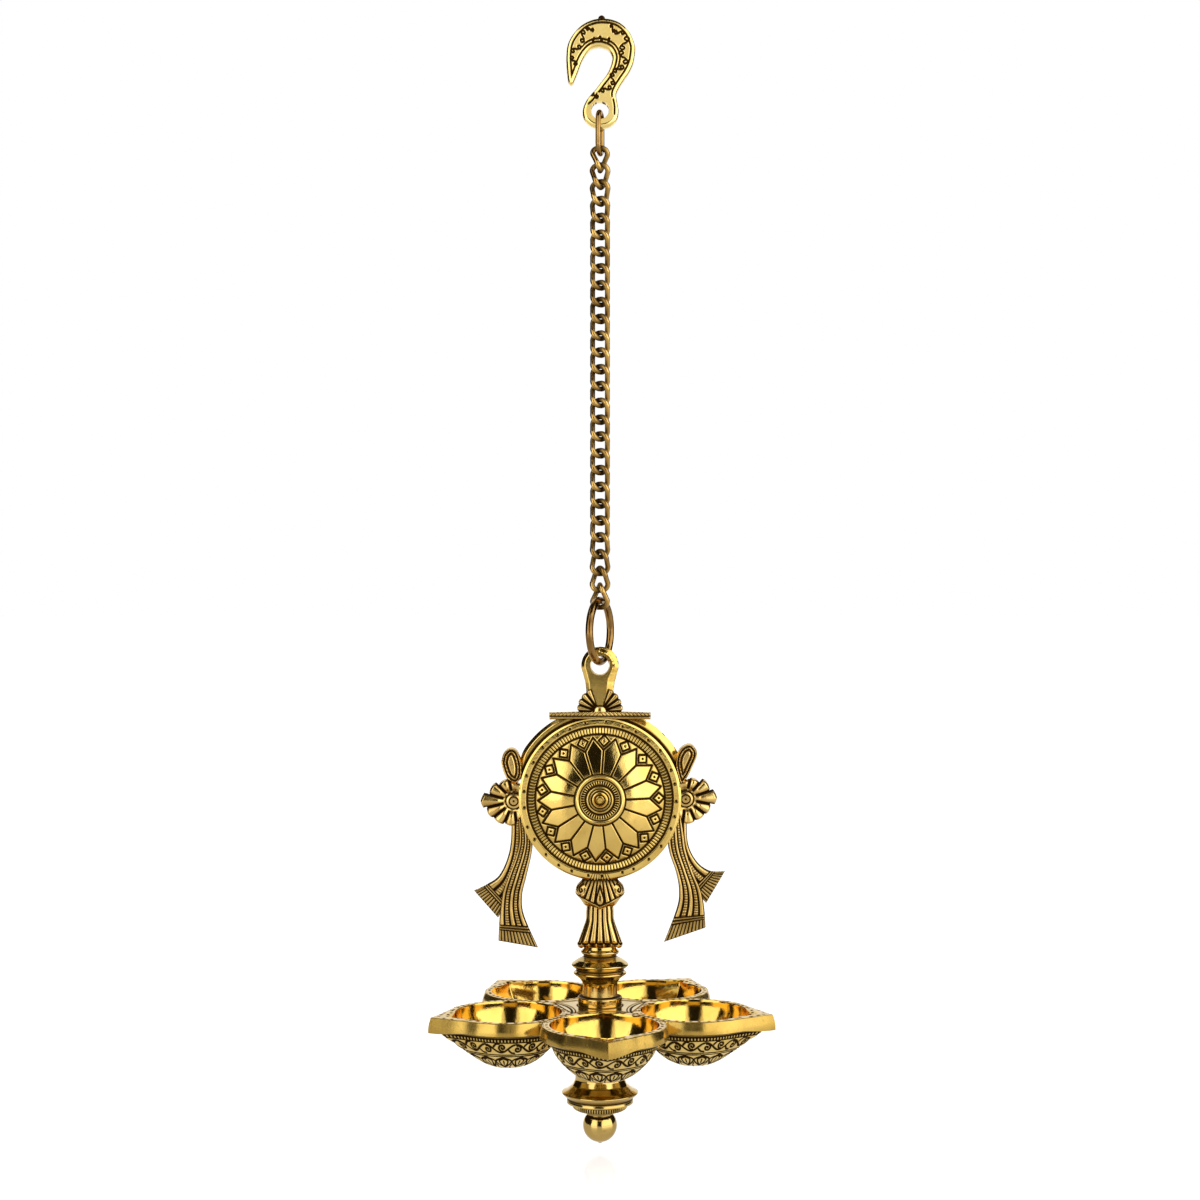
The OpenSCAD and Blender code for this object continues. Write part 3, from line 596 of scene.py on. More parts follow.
def ribbon(stations, front, pleats, cuts, fringe_len):
    """Grid function of one tail between its two edges: v runs over the front and back over the rear."""
    edges = curve(stations, gap=0.3)
    steps = np.linalg.norm(np.diff((edges[:, :2] + edges[:, 2:]) / 2, axis=0), axis=1)
    run = np.concatenate([[0], np.cumsum(steps)])
    length = run[-1]
    band_len = 0.4 * fringe_len

    def shape(u, v):
        rear = v > tail_front_share
        t = np.where(rear, (1 - v) / (1 - tail_front_share), v / tail_front_share)
        s = u * length
        x0, z0, x1, z1 = [np.interp(s, run, edges[:, i]) for i in range(4)]
        x = x0 + (x1 - x0) * t
        z = z0 + (z1 - z0) * t
        wide = np.hypot(x1 - x0, z1 - z0)
        end = length - s
        fringe = end < fringe_len
        band = (end >= fringe_len) & (end < fringe_len + band_len)
        wave = np.abs(np.sin(np.pi * pleats * t))
        y = front - pleat_high * np.sqrt(wave)
        # Dark lines lie in the pleats' valleys, and the broad darkening of each slope away from its ridge is
        # painted shade.
        tone = np.maximum(stroke(0.35, 0.75, wave), 0.45 - 0.4 * wave)
        second = np.floor(pleats * t) % 2 == 1
        tick = second & (wave > 0.62) & (np.sin(2 * np.pi * s / 1.3) > -0.1)
        y = y + 0.25 * tick
        tone = np.where(tick, np.maximum(tone, 0.5), tone)
        line = np.min([np.abs(end - fringe_len - c) for c in (0, band_len / 2, band_len)], 0)
        y = np.where(band, front - pleat_high + 0.3 * stroke(0.2, 0.6, line), y)
        tone = np.where(band, 0.05, tone)
        strand = np.abs(np.sin(np.pi * cuts * t + 0.5 * np.sin(5 * t)))
        y = np.where(fringe, front - strand_high * np.sqrt(strand), y)
        tone = np.where(fringe, np.maximum(stroke(0.25, 0.7, strand), 0.3), tone)
        tone = np.maximum(tone, stroke(0.2, 0.55, line))
        y = np.where(rear, sash_back, y)
        tone = np.where(rear, sash_back_tone, tone)
        depth = np.minimum(np.minimum(t, 1 - t) * wide, np.minimum(s, end))
        bulge = np.sqrt(1 - (1 - np.clip(depth / 0.8, 0, 1)) ** 2)
        return x, sash_mid + (y - sash_mid) * bulge, z + wheel_z, tone

    return shape


tails = {
    "left": (
        [
            (-41, -8, -35, -8), (-40.4, -20, -33.6, -20.5), (-42.2, -28.6, -34.2, -28),
            (-46, -38.5, -36.6, -38.5), (-48.9, -47.7, -38.8, -48.5), (-50.1, -58.5, -37.7, -58.5),
            (-50.8, -70.9, -30.6, -74.4),
        ],
        [
            (-44.2, -8, -38, -8), (-44.5, -21, -38, -22), (-46.4, -30.3, -39.5, -33),
            (-50.5, -38.5, -43, -44.5), (-56.3, -42.7, -47.2, -52.5), (-63, -46, -50.9, -59.7),
        ],
    ),
    "right": (
        [
            (40.5, -8, 34, -8), (42, -18, 33.6, -19.5), (43.2, -26, 34.6, -27),
            (46.6, -36.4, 37.8, -36.5), (50.4, -45.5, 39.3, -45.5), (52.1, -55, 38.2, -54.5),
            (52.8, -64.3, 31.6, -71.7),
        ],
        [
            (43.4, -8, 37, -8), (43.9, -22, 38, -23), (48.1, -31.1, 41.5, -35),
            (54.7, -36, 46.5, -44), (62.5, -36.3, 53, -52.4),
        ],
    ),
}
for side, (long_tail, short_tail) in tails.items():
    tail_mesh = bmesh.new()
    skin(tail_mesh, 260, 70, ribbon(long_tail, -3.1, 5, 11, 7))
    piece(tail_mesh, "front_tail_" + side, aged, "lamp", "sash_" + side)
    tail_mesh = bmesh.new()
    skin(tail_mesh, 180, 60, ribbon(short_tail, -1.9, 3, 11, 5.6))
    piece(tail_mesh, "back_tail_" + side, aged, "lamp", "sash_" + side)

# Loops and palmettes: over each palmette stands a long rope loop, folded from a doubled cord round a smooth
# tongue. The palmette's fat lobes spread from a round boss, and its middle lobe is pointed.
loop_edges = {
    "left": [
        (-43.2, 7.7), (-46.2, 9.5), (-48, 12.5), (-49.4, 17.6), (-48.8, 21.7), (-47.2, 24.2),
        (-44.7, 25.6), (-41.6, 24.6), (-39.6, 20.7), (-38.6, 15.6), (-39, 11), (-41, 8),
    ],
    "right": [
        (40.4, 7.2), (44, 11), (46.5, 16.1), (48.6, 21.2), (48.1, 24.8), (45, 27.6),
        (41, 26.3), (38.4, 22.7), (37.4, 18.6), (38, 13.5),
    ],
}


def loop_face(x, z, depth):
    outer_in = 0.8
    inner_in = 2.2
    tongue = smooth(3, 4, depth)
    outer_cord = 1.3 * np.exp(-(((depth - outer_in) / 0.5) ** 2))
    inner_cord = 1.1 * np.exp(-(((depth - inner_in) / 0.45) ** 2))
    y = -3.2 - outer_cord - inner_cord - tongue
    tick = (np.abs(depth - inner_in) < 0.35) & (np.sin(5 * (x + z)) > 0.55)
    cut = np.maximum(stroke(0.2, 0.5, np.abs(depth - 1.5)), stroke(0.2, 0.5, np.abs(depth - 2.95)))
    return y, np.maximum(cut, 0.7 * tick)


sash_rear = plain_face(sash_back, sash_back_tone)
palm_lobes = {
    "left": [(118, 11.6), (149, 13.4), (181, 16.8), (206, 14.6), (232, 13.6), (262, 12.8)],
    "right": [(64, 11.2), (36, 13.6), (2, 15.9), (-25, 13.4), (-51, 12.6), (-82, 12.8)],
}
palm_at = {"left": (-43, -1), "right": (42.7, 0)}
palm_boss_r = 3.8
pointed_lobe = 2
for side, lobes in palm_lobes.items():
    loop_edge = curve(loop_edges[side], True)
    loop_mesh = relief([loop_edge], 0.2, loop_face, sash_rear, sash_mid, 0.8, (0, wheel_z))
    piece(loop_mesh, "rope_loop_" + side, aged, "lamp", "sash_" + side)
    way = np.radians([angle for angle, reach in lobes])
    edges = (way[1:] + way[:-1]) / 2
    edges = np.concatenate([[2 * way[0] - edges[0]], edges, [2 * way[-1] - edges[-1]]])
    edge = []
    for i, (angle, reach) in enumerate(lobes):
        for a in np.linspace(edges[i], edges[i + 1], 19):
            off = abs(a - way[i]) / max(abs(edges[i] - way[i]), abs(edges[i + 1] - way[i]))
            swell = 1 - off**1.3 if i == pointed_lobe else math.sqrt(1 - off**2)
            out = reach * (0.91 + 0.09 * swell)
            edge.append((out * math.cos(a), out * math.sin(a)))
    inward = math.copysign(1, -palm_at[side][0])
    edge += [(4 * inward, -8.5), (6 * inward, 0), (4 * inward, 8.5)]

    def palm_face(x, z, depth):
        reach = np.hypot(x, z)
        middle = way[pointed_lobe]
        angle = (np.arctan2(z, x) - middle + np.pi) % (2 * np.pi) - np.pi + middle
        apart = np.min([np.abs(angle - edge_at) for edge_at in edges], 0)
        body = np.sqrt(1 - (1 - np.clip(apart / 0.24, 0, 1)) ** 2)
        y = -2.7 - 2.2 * body * smooth(3.5, 8, reach) - 0.5 * stroke(8, 16, reach)
        cut = stroke(0.5, 1.1, apart * reach) * smooth(4.6, 5.8, reach)
        # Painted shade: each lobe darkens over its flanks towards the grooves between the lobes.
        cut = np.maximum(cut, 0.7 * (1 - body) * smooth(5, 7, reach))
        ring = np.minimum(np.abs(reach - palm_boss_r - 0.2), np.abs(reach - 2.2))
        cut = np.where(reach > palm_boss_r, cut, 0.9 * stroke(0.3, 0.8, reach))
        cut = np.maximum(cut, stroke(0.2, 0.55, ring))
        y = np.where(reach < palm_boss_r, -4.3 - 0.5 * stroke(1.5, palm_boss_r, reach), y)
        return y, cut

    palm_x, palm_z = palm_at[side]
    palm_place = (palm_x, wheel_z + palm_z)
    palm_edge = straight(edge, True)
    palm_mesh = relief([palm_edge], 0.22, palm_face, sash_rear, sash_mid, 1.4, palm_place)
    piece(palm_mesh, "palmette_" + side, aged, "lamp", "sash_" + side)

# Leaf stem: below the wheel an acanthus leaf with side scrolls and a teardrop, cast on a fluted leaf that
# flares down to a scalloped foot. Both are worked the same on the back.
leaf_half = [
    (8.4, -37), (9, -40.4), (11.2, -42.6), (12.2, -44.8), (12.1, -47.6), (9.8, -50.4), (7.6, -53.4),
    (3.8, -55.4), (0, -57),
]
leaf_side = curve(leaf_half)
leaf_edge = np.concatenate([leaf_side, leaf_side[-2::-1] * (-1, 1)])
drop = curve([
    (0, -43), (0.8, -46), (1.9, -50), (1.3, -52.2), (0, -52.8), (-1.3, -52.2), (-1.9, -50),
    (-0.8, -46),
], True)
drop_core = straight([(0, -48.4), (0, -50.4)])
scroll = curve([(8.2, -42.2), (9.6, -43), (10.4, -44.6), (9.9, -46.2), (8.9, -45.6), (9.2, -44.6)])
leaf_marks = np.concatenate([drop, drop_core, scroll, scroll * (-1, 1)])
flute_from = -29
flute_step = 7.2
scroll_x = 9.8
scroll_z = -44.8
scroll_r = 3
chevron_z = -53.2
chevron_slope = 0.48


def leaf_face(x, z, depth):
    angle = np.degrees(np.arctan2(np.abs(x), flute_from - z))
    part = np.abs((angle / flute_step + 0.1) % 1 - 0.5) * 2
    flute = np.sqrt(1 - part**2)
    curled = np.hypot(np.abs(x) - scroll_x, z - scroll_z) < scroll_r
    from_chevron = z - chevron_z - chevron_slope * np.abs(x)
    smoothed = curled | inside(x, z, [drop]) | (from_chevron < 0)
    marked = nearness(x, z, leaf_marks)
    y = -4.6 - 1.1 * np.where(smoothed, 0.8, flute) - 0.5 * smooth(-40, -53, z)
    cut = np.where(smoothed, 0, smooth(0.5, 0.72, part))
    cut = np.maximum(cut, stroke(0.25, 0.6, marked))
    cut = np.maximum(cut, stroke(0.2, 0.5, np.abs(from_chevron)) * ~curled)
    # Painted shade: the leaf's top is darkened where it runs in under the wheel's rim.
    cut = np.maximum(cut, 0.8 * smooth(-43, -39.5, z))
    return y + 0.4 * cut, cut


def mirrored(face):
    """The same work on the back."""

    def back(x, z, depth):
        y, cut = face(x, z, depth)
        return -y, cut

    return back


leaf_mesh = relief([leaf_edge], 0.22, leaf_face, mirrored(leaf_face), 0, 4.2, (0, wheel_z))
piece(leaf_mesh, "acanthus_leaf", aged, "lamp", "wheel_plate")
foot = [(6.6, -52.6), (7, -56), (7.2, -60.4), (8.6, -64.7), (10.1, -68.8), (11.2, -72), (11.3, -73.4)]
foot_side = curve(foot)
foot_half = 11.3
foot_low = -73.6
scallop = 1.3
flutes = 6
feet = []
for k in range(flutes):
    for t in np.linspace(0, 1, 9):
        x = foot_half - 2 * foot_half * (k + t) / flutes
        feet.append((x, foot_low - scallop * math.sin(math.pi * t) ** 0.7))
foot_edge = np.concatenate([foot_side, straight(feet), foot_side[::-1] * (-1, 1)])


def foot_face(x, z, depth):
    wide = np.interp(-z, [-p[1] for p in foot], [p[0] for p in foot])
    part = np.abs((x / wide * flutes / 2 + 0.5) % 1 - 0.5) * 2
    flute = np.sqrt(1 - part**2)
    tongue = -70.4 - 1.9 * np.sqrt(flute)
    cut = np.where(z > tongue, smooth(0.55, 0.75, part), 0)
    cut = np.maximum(cut, stroke(0.35, 0.75, np.abs(z - tongue)))
    flare = smooth(-60, -74, z)
    return -4.2 - 0.9 * np.where(z > tongue, flute, 0.8) - 0.4 * flare + 0.3 * cut, cut


foot_mesh = relief([foot_edge], 0.22, foot_face, mirrored(foot_face), 0, 3.6, (0, wheel_z))
piece(foot_mesh, "fluted_leaf", aged, "lamp", "wheel_plate")

# Baluster: turned from bar on a lathe, with a double-coned ring, a cove and a foot ring. It is polished, and
# the tie rod holds it between the leaf stem and the hub.


def eased(profile, by):
    """Rounds the corners of a profile."""
    p = np.array(profile, float)
    soft = [p[0]]
    for a, b, c in zip(p, p[1:], p[2:]):
        into = b + (a - b) * min(0.45, by / np.linalg.norm(a - b))
        away = b + (c - b) * min(0.45, by / np.linalg.norm(c - b))
        for t in np.linspace(0, 1, 5):
            soft.append(into * (1 - t) ** 2 + 2 * b * t * (1 - t) + away * t**2)
    return np.array(soft + [p[-1]])


def turn(profile, top, steps, cuts, beads=0, bead_at=(0, 0)):
    """Turns a profile of radius and drop below top once round, with dark lines and beads at given drops."""
    bm = bmesh.new()
    dark = bm.verts.layers.float.new("dark")
    verts = [bm.verts.new((r * MM, 0, (top - drop) * MM)) for r, drop in profile]
    edges = [bm.edges.new(pair) for pair in zip(verts, verts[1:])]
    bmesh.ops.spin(
        bm, geom=verts + edges, cent=(0, 0, 0), axis=(0, 0, 1), angle=math.tau, steps=steps, use_merge=True
    )
    for vert in bm.verts:
        drop = top - vert.co.z / MM
        vert[dark] = max(0.95 * math.exp(-(((drop - c) / 0.4) ** 2)) for c in cuts)
        if bead_at[0] < drop < bead_at[1]:
            bead = math.cos(beads * math.atan2(vert.co.y, vert.co.x))
            vert.co.xy = vert.co.xy * (1 + 0.02 * bead)
            vert[dark] = max(vert[dark], 0.4 - 0.6 * bead)
    return bm


turned = brass("turned_brass", (0.7, 0.49, 0.16, 1), (0.56, 0.38, 0.11, 1), 0.08)
baluster_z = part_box("stem_baluster")[1].z / MM
baluster = eased([
    (0, -1.6), (7.9, -1.6), (8.2, 0), (9.6, 1), (9.6, 1.9), (8, 3.3), (8.2, 3.8), (11.5, 5.4),
    (14.35, 7.5), (14.35, 8.2), (11.9, 10.1), (11.9, 10.8), (13.35, 11.6), (13.35, 12.3),
    (10.3, 14.6), (9, 16.6), (8.7, 18), (8.7, 23.4), (11.1, 23.9), (11.1, 28.3), (0, 28.3),
], 0.5)
baluster_mesh = turn(baluster, baluster_z, 128, (3.5, 10.4, 23.5))
piece(baluster_mesh, "turned_baluster", turned, "lamp", "stem_baluster")

# Hub: the flat five-sided middle of the cup ring, brazed to the cups. Arcs are cut round the back of each
# cup, and the boss below is turned round.
rim_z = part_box("cup_hub")[1].z / MM
cup_reach = 48
cup_ways = np.radians([-87.5 + 72 * k for k in range(5)])
half_step = math.radians(36)
hub_flat = 20
hub_deep = 7.5
hub_ring_r = 11.4
hub_arc_r = 31.2
hub_fine_arc_r = 33
hub_cut_deep = 0.35
corner = hub_flat / math.cos(half_step)
corner_ways = cup_ways + half_step
hub_edge = straight(np.stack([corner * np.cos(corner_ways), corner * np.sin(corner_ways)], 1), True)


def hub_top(x, y, depth):
    cut = stroke(0.15, 0.55, np.abs(np.hypot(x, y) - hub_ring_r))
    for a in cup_ways:
        reach = np.hypot(x - cup_reach * math.cos(a), y - cup_reach * math.sin(a))
        cut = np.maximum(cut, stroke(0.35, 0.75, np.abs(reach - hub_arc_r)))
        cut = np.maximum(cut, 0.8 * stroke(0.15, 0.45, np.abs(reach - hub_fine_arc_r)))
    return rim_z - hub_cut_deep * cut, 0.12 + cut * 0.85


hub_under = plain_face(rim_z - hub_deep, 0.25)
hub_mesh = relief([hub_edge], 0.3, hub_top, hub_under, rim_z - 3, 0.3, (0, 0), True)
piece(hub_mesh, "hub_plate", polished, "lamp", "cup_hub")
hub_boss_r = 13.2
boss_from = 7
boss_low = 31
boss = [(0, boss_from), (hub_boss_r, boss_from), (hub_boss_r, 20), (hub_boss_r, boss_low), (0, boss_low)]
piece(turn(boss, rim_z, 96, (boss_from,)), "hub_boss", polished, "lamp", "cup_hub")

# Cups: five cast oil cups with a pointed lip. The inside and the lip are polished, the flat rim is punched
# with dots, and under the lip run a milled line, a band of cut scrolls and a band of cut leaves.
random.seed(9)
bowl_look = brass("bowl_brass", (0.8, 0.53, 0.12, 1), (0.62, 0.39, 0.08, 1), 0.06)
worked = brass("worked_brass", (1, 0.75, 0.27, 1), (0.92, 0.64, 0.18, 1), 0.18)
open_r = 26.2
open_tip = 28.9
lip_r = 31
lip_tip = 40.8
lip_tall = 5.3
lip_tip_drop = 1.7
lip_lean = 1.2
rim_edge = 0.6
bowl_deep = 24
bowl_end = 0.42
rim_end = 0.66
edge_end = 0.73
side_end = 0.93


def pointed(angle, r, tip):
    """Radius of a circle with a straight-sided point at angle 0."""
    lean = math.acos(r / tip)
    return np.where(np.abs(angle) < lean, r / np.cos(lean - np.abs(angle)), r)


def lip_at(angle):
    """Radius of the lip, trimmed where it meets the next cup and the hub."""
    side = np.abs(np.sin(angle)) - math.tan(half_step) * np.cos(angle)
    seam = np.where(side > 0.05, cup_reach * math.tan(half_step) / np.maximum(side, 0.05), 99)
    hub = np.where(np.cos(angle) < -0.05, (cup_reach - hub_flat) / np.maximum(-np.cos(angle), 0.05), 99)
    return np.minimum(pointed(angle, lip_r, lip_tip), np.minimum(seam, hub) - 0.02)


rim_marks = []
dot_count = 46
for k in range(dot_count):
    a = -math.pi + 2 * math.pi * (k + random.uniform(-0.25, 0.25)) / dot_count
    lip = float(lip_at(np.array([a]))[0])
    for part in (0.3, 0.72):
        reach = open_r + (lip - open_r) * (part + random.uniform(-0.06, 0.06))
        for way in (a, a + 0.02)[: random.choice((1, 2))]:
            rim_marks.append((reach * math.cos(way), reach * math.sin(way)))


def cup_top(u, v):
    """The bowl, then the rim's top, its edge, the lip's side and its underside as v runs."""
    angle = -math.pi + 2 * math.pi * u
    free = np.abs(angle) < 1.8
    dents = 0.16 * np.sin(7 * angle + 1) + 0.08 * np.sin(17 * angle + 2)
    lip = lip_at(angle) + dents * free
    open_at = pointed(angle, open_r, open_tip)
    tall = lip_tall + lip_tip_drop * stroke(0.05, 0.5, np.abs(angle))
    bowl = np.clip(v / bowl_end, 0, 1)
    across = np.clip((v - bowl_end) / (rim_end - bowl_end), 0, 1)
    edge = np.clip((v - rim_end) / (edge_end - rim_end), 0, 1)
    down = np.clip((v - edge_end) / (side_end - edge_end), 0, 1)
    under = np.clip((v - side_end) / (1 - side_end), 0, 1)
    r = open_r * np.sin(np.pi / 2 * bowl) + (open_at - open_r) * smooth(0.55, 1, bowl)
    z = -bowl_deep * np.cos(np.pi / 2 * bowl)
    top = lip - lip_lean * free
    notch = 1.3 * (open_at - open_r) / (open_tip - open_r)
    r = np.where(v > bowl_end, open_at + (top - rim_edge - open_at) * across, r)
    z = np.where(v > bowl_end, -notch * stroke(0, 0.4, across) + 0.12 * np.sin(np.pi * across), z)
    r = np.where(v > rim_end, top - rim_edge + rim_edge * np.sin(np.pi / 2 * edge), r)
    z = np.where(v > rim_end, -rim_edge + rim_edge * np.cos(np.pi / 2 * edge), z)
    belly = (0.3 + 0.12 * np.sin(5 * angle + 2)) * np.sin(np.pi * down) * free
    lip_foot = lip - 0.05
    r = np.where(v > edge_end, top + (lip_foot - top) * down + belly, r)
    z = np.where(v > edge_end, -rim_edge - tall * down, z)
    inner = np.minimum(open_r, lip - 1)
    r = np.where(v > side_end, lip_foot + (inner - lip_foot) * under, r)
    z = np.where(v > side_end, -rim_edge - tall + (tall - hub_deep) * under, z)
    x = r * np.cos(angle)
    y = r * np.sin(angle)
    # The lip's edge and side are a little darker, with a slow wave round the cup.
    lip_side_tone = 0.22 + 0.06 * np.sin(3 * angle + 1) + 0.04 * np.sin(11 * angle)
    tone = np.where(v > rim_end, lip_side_tone, 0.0)
    # Painted shade: the lip's underside darkens towards the corner where it meets the cup.
    tone = np.where(v > side_end, 0.3 + 0.5 * under, tone)
    rim = (v > bowl_end + 0.01) & (v < rim_end)
    dots = stroke(0.45, 0.9, nearness(x[rim], y[rim], rim_marks))
    z[rim] -= 0.3 * dots
    tone[rim] = 0.95 * dots
    return x, y, z, tone


band_line = curve([
    (26.3, -7.9), (26.0, -9.3), (24.9, -11), (23.7, -13.5), (21.6, -16.5), (19.2, -19), (15.9, -22),
    (11.8, -24.5), (7, -26.2), (0, -27),
], gap=0.05)
band_run = np.concatenate([[0], np.cumsum(np.linalg.norm(np.diff(band_line, axis=0), axis=1))])
round_r = 24
band_cut_deep = 0.4


def curl(x, z, size, turn, hand, wraps):
    """A spiral stroke that starts at its wide end."""
    t = np.linspace(0, 1, 40)
    angle = np.radians(turn) + hand * t * wraps * 2 * np.pi
    reach = size * (1 - 0.85 * t)
    return np.stack([x + reach * np.cos(angle), z + reach * np.sin(angle)], 1)


scroll_cuts = []
units = 10
pitch = 2 * math.pi * round_r / units
for k in range(-1, units + 1):
    s = k * pitch - math.pi * round_r
    wave = np.linspace(0, pitch, 60)
    scroll_cuts += [
        np.stack([s + wave, -13.1 + 2.1 * np.sin(2 * np.pi * wave / pitch)], 1),
        curl(s + pitch * 0.3, -13.6, 2.0, 100, -1, 1.3),
        curl(s + pitch * 0.8, -12.6, 2.0, 280, -1, 1.3),
        curve([(s + pitch * 0.02, -14.2), (s + pitch * 0.1, -15.4), (s + pitch * 0.2, -15.7)]),
        curve([(s + pitch * 0.52, -12), (s + pitch * 0.6, -10.8), (s + pitch * 0.7, -10.5)]),
    ]
leaves = 14
leaf_pitch = 2 * math.pi * round_r / leaves
for k in range(-1, leaves + 1):
    s = (k + 0.5) * leaf_pitch - math.pi * round_r
    for size in (1.0, 0.55):
        top = -18.2 - 1.6 * (1 - size)
        low = -24.6 + 1.2 * (1 - size)
        for way in (-size, size):
            wide = s + way * leaf_pitch * 0.46
            slim = s + way * leaf_pitch * 0.34
            scroll_cuts.append(curve([(s, top), (wide, -20.2), (slim, -22.6), (s, low)]))
    scroll_cuts.append(straight([(s, -20.5), (s, -22.4)]))
    between = s + leaf_pitch * 0.5
    scroll_cuts.append(curve([(between, -22.6), (between - 0.9, -24.4), (between, -25.8)]))
scroll_cuts = np.concatenate(scroll_cuts)


def cup_band(u, v):
    """The worked outside of the cup, from under the lip to its foot as v runs."""
    angle = -math.pi + 2 * math.pi * u
    run = v * band_run[-1]
    r = np.interp(run, band_run, band_line[:, 0])
    z = np.interp(run, band_run, band_line[:, 1])
    keel = np.interp(-z, [8, 10.6, 13, 16.5, 20, 23], [0.85, 0.7, 0.45, 0.23, 0.08, 0])
    r = r + (pointed(angle, lip_r, lip_tip) - lip_r) * keel
    cut = stroke(0.28, 0.66, nearness(round_r * angle, z, scroll_cuts))
    milled = np.abs(z + 9.1) < 0.9
    line = np.min([np.abs(z + c) for c in (8.1, 10.1, 16.6, 17.6)], 0)
    cut = np.maximum(cut, stroke(0.15, 0.45, line))
    cut = np.where(milled, np.maximum(cut, 0.65 - 0.6 * np.cos(100 * angle)), cut)
    r = r - band_cut_deep * cut * (r > 3)
    return r * np.cos(angle), r * np.sin(angle), z, np.clip(0.05 + cut, 0, 1)


for name, shape, across_u, across_v, look in (
    ("oil_cup_", cup_top, 300, 84, bowl_look),
    ("cup_relief_", cup_band, 560, 84, worked),
):
    cup_mesh = bmesh.new()
    skin(cup_mesh, across_u, across_v, shape)
    for k, a in enumerate(cup_ways):
        copy = cup_mesh.copy()
        bmesh.ops.translate(copy, verts=copy.verts, vec=(cup_reach * MM, 0, rim_z * MM))
        bmesh.ops.rotate(copy, verts=copy.verts, cent=(0, 0, 0), matrix=Matrix.Rotation(a, 3, "Z"))
        piece(copy, name + str(k + 1), look, "lamp", "cup_" + str(k + 1))
    cup_mesh.free()

# Collar: turned from bar like the baluster, with a wide flange, a plain ring and a ring of small beads under
# it. The tie rod holds it against the underside of the hub.
collar_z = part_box("lower_collar")[1].z / MM
collar = eased([
    (0, 0), (13.2, 0), (12.4, 3), (12.4, 5.5), (13.6, 8.4), (16.6, 10.9), (19.1, 12), (19.1, 12.7),
    (16.2, 15.2), (16.7, 16.6), (16.7, 17.5), (13, 18), (13.3, 18.6), (13.3, 20), (12.2, 20.9),
    (7.8, 21.2), (7.8, 22.4), (0, 22.4),
], 0.45)
collar_mesh = turn(collar, collar_z, 320, (15.3, 18, 20.9), 64, (18.3, 20.4))
piece(collar_mesh, "turned_collar", turned, "lamp", "lower_collar")

# Ball: the turned nut at the very bottom, with a small point. It closes the rod and holds the stack of
# turned pieces together. The rod itself stays out of sight inside them.
ball_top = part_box("ball_finial")[1].z / MM
ball_r = 8.5
ball_drop = 6.36
ball = [(0, 0), (6.6, 0), (6.5, 0.8)]
for a in np.radians(np.linspace(50, 166, 40)):
    ball.append((ball_r * math.sin(a), ball_drop - ball_r * math.cos(a)))
ball += [(1.3, 15), (0.6, 15.5), (0, 15.65)]
piece(turn(ball, ball_top, 96, (0.2,)), "ball_nut", turned, "lamp", "ball_finial")
dress("tie_rod", antique)

# Studio: a white floor in a white room, glossy only at the lamp's foot, and two large soft boxes beside the
# camera. Dark cards draw long dark reflections into the polished brass, and a small white card brightens the
# hook's face. Only reflections see the cards.
scene = bpy.context.scene
scene.view_settings.view_transform = "Standard"
shown_bounds = [list(corner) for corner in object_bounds()]
floor_gap = 3 * MM
floor_z = shown_bounds[0][2] - floor_gap


def stage_card(name, look, verts):
    """One flat sheet of the studio."""
    bm = bmesh.new()
    bmesh.ops.create_grid(bm, x_segments=1, y_segments=1, size=1)
    for vert in bm.verts:
        vert.co = verts(vert.co.x, vert.co.y)
    mesh = bpy.data.meshes.new(name)
    bm.to_mesh(mesh)
    bm.free()
    mesh.materials.append(look)
    made = bpy.data.objects.new(name, mesh)
    scene.collection.objects.link(made)
    return made


def reflection_only(card):
    """Hides a card from everything but reflections."""
    card.visible_camera = False
    card.visible_diffuse = False
    card.visible_shadow = False
    card.visible_transmission = False


pale = bpy.data.materials.new("pale_floor")
pale.use_nodes = True
floor_shader = pale.node_tree.nodes["Principled BSDF"]
path = pale.node_tree.nodes.new("ShaderNodeLightPath")
seen = Tone(pale.node_tree, path.outputs["Is Camera Ray"])
floor_colour = seen.mix((0.1, 0.1, 0.1, 1), (0.55, 0.55, 0.55, 1))
pale.node_tree.links.new(floor_colour.socket, floor_shader.inputs["Base Color"])
floor_place = Tone(pale.node_tree, pale.node_tree.nodes.new("ShaderNodeTexCoord").outputs["Object"])
spot = floor_place.node("ShaderNodeVectorMath", {0: floor_place}, "Value", operation="LENGTH")
# Reflections see the floor darker than the camera does, and darkest near the lamp: painted shade round its
# foot.
far_off = spot.maths("MULTIPLY", spot - 0.4, 0.9, True)
glow = seen.mix(far_off.mix((0.55, 0.53, 0.5, 1), (0.8, 0.79, 0.76, 1)), (0.56, 0.56, 0.56, 1))
pale.node_tree.links.new(glow.socket, floor_shader.inputs["Emission Color"])
away_from_foot = spot.maths("MULTIPLY", spot + (floor_z - 0.004), 30, True)
pale.node_tree.links.new((0.12 + seen * away_from_foot * 0.88).socket, floor_shader.inputs["Roughness"])
floor_shader.inputs["Emission Strength"].default_value = 1
floor_shader.inputs["Specular IOR Level"].default_value = 0.25
stage_card("floor", pale, lambda x, y: (30 * x, 30 * y, floor_z))

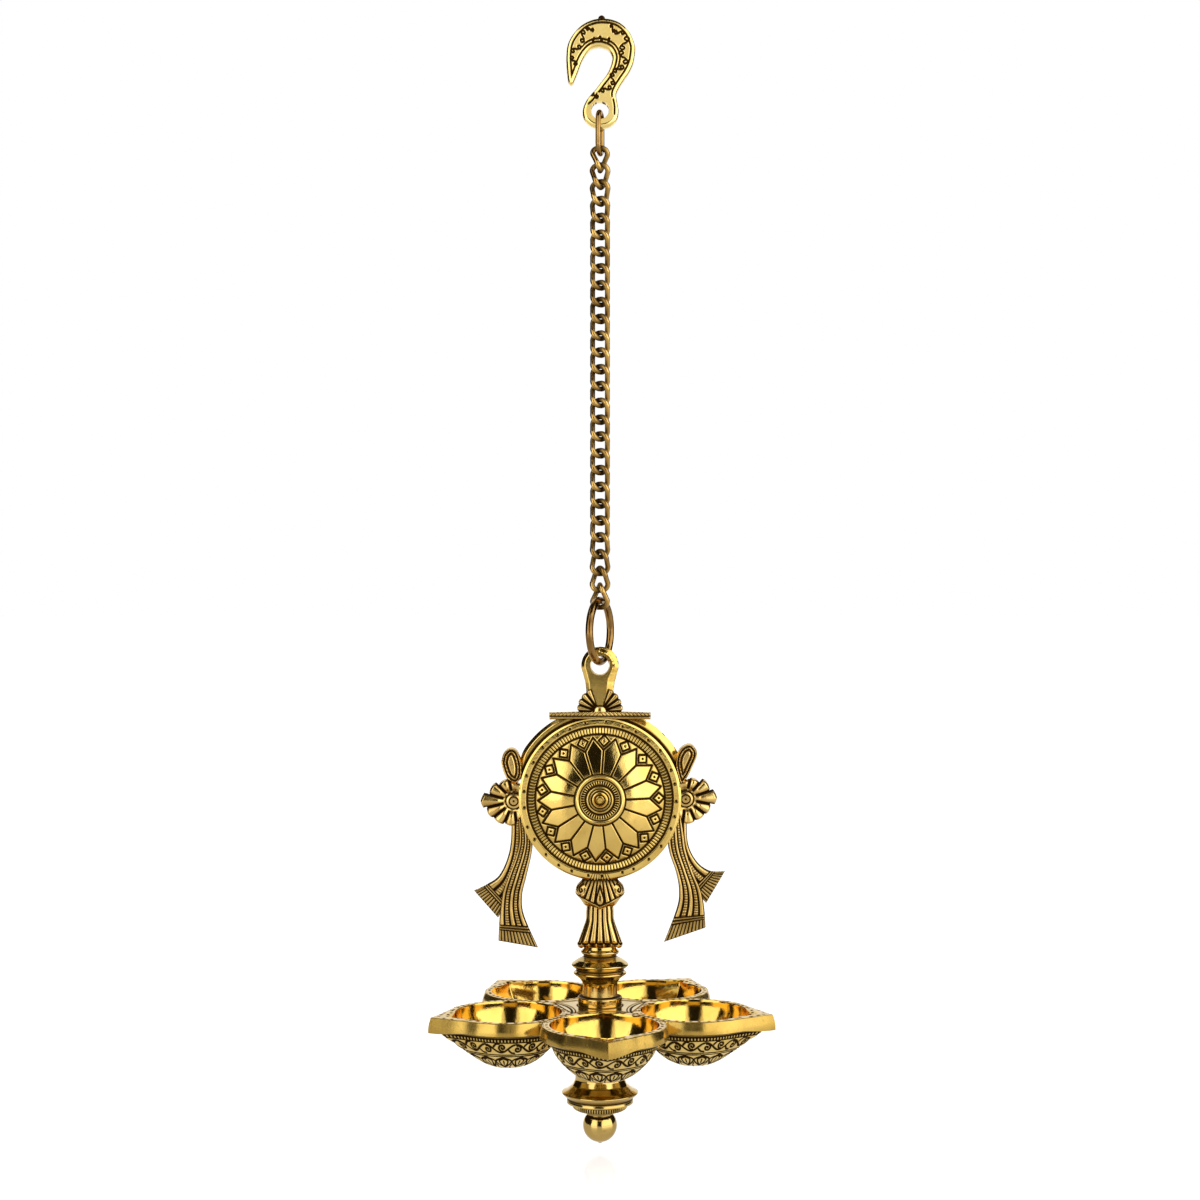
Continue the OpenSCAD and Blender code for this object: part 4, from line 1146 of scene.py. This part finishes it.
world = bpy.data.worlds.new("studio")
world.use_nodes = True
scene.world = world
world.node_tree.nodes["Background"].inputs["Color"].default_value = (1, 1, 1, 1)

card_look = bpy.data.materials.new("dark_card")
card_look.use_nodes = True
card_shader = card_look.node_tree.nodes["Principled BSDF"]
card_shader.inputs["Base Color"].default_value = (0.014, 0.011, 0.008, 1)
card_shader.inputs["Roughness"].default_value = 1
card_shader.inputs["Specular IOR Level"].default_value = 0
walls = [
    ("front", -93.5, 17, 32, 3, 5),
    ("right", 32, 28, 28, 2, 2.4),
    ("left", 163, 45, 45, 2, 2.4),
]
for name, way, low_half, high_half, far, high in walls:
    a = math.radians(way)

    def wall(x, y):
        side = x * far * math.tan(math.radians(high_half if y > 0 else low_half))
        up = high if y > 0 else floor_z
        return (far * math.cos(a) - side * math.sin(a), far * math.sin(a) + side * math.cos(a), up)

    reflection_only(stage_card("card_" + name, card_look, wall))
reflection_only(stage_card("card_roof", card_look, lambda x, y: (1.1 * x, 1.1 * y, 1.5)))

white = bpy.data.materials.new("white_card")
white.use_nodes = True
white.node_tree.nodes["Principled BSDF"].inputs["Base Color"].default_value = (0.95, 0.95, 0.95, 1)
reflection_only(stage_card("card_bounce", white, lambda x, y: (0.12 * x, -0.35, 0.1 + 0.09 * y)))

box_far = 1.35
box_up = 1
soft_boxes = [("soft_left", -129, 1.04, 3, 10), ("soft_right", -38.5, 2.31, 3, 25)]
for name, way, wide, tall, power in soft_boxes:
    lamp = bpy.data.lights.new(name, "AREA")
    lamp.shape = "RECTANGLE"
    lamp.size = wide
    lamp.size_y = tall
    lamp.energy = power
    made = bpy.data.objects.new(name, lamp)
    scene.collection.objects.link(made)
    a = math.radians(way)
    made.location = (box_far * math.cos(a), box_far * math.sin(a), box_up)
    made.rotation_euler = (math.pi / 2, 0, a + math.pi / 2)
    made.visible_camera = False

eye = bpy.data.cameras.new("eye")
eye.sensor_width = 36
eye.lens = 61.2
camera = bpy.data.objects.new("eye", eye)
scene.collection.objects.link(camera)
camera.location = (0, -1.02, -0.27)
camera.rotation_euler = (math.pi / 2, 0, 0)
scene.camera = camera
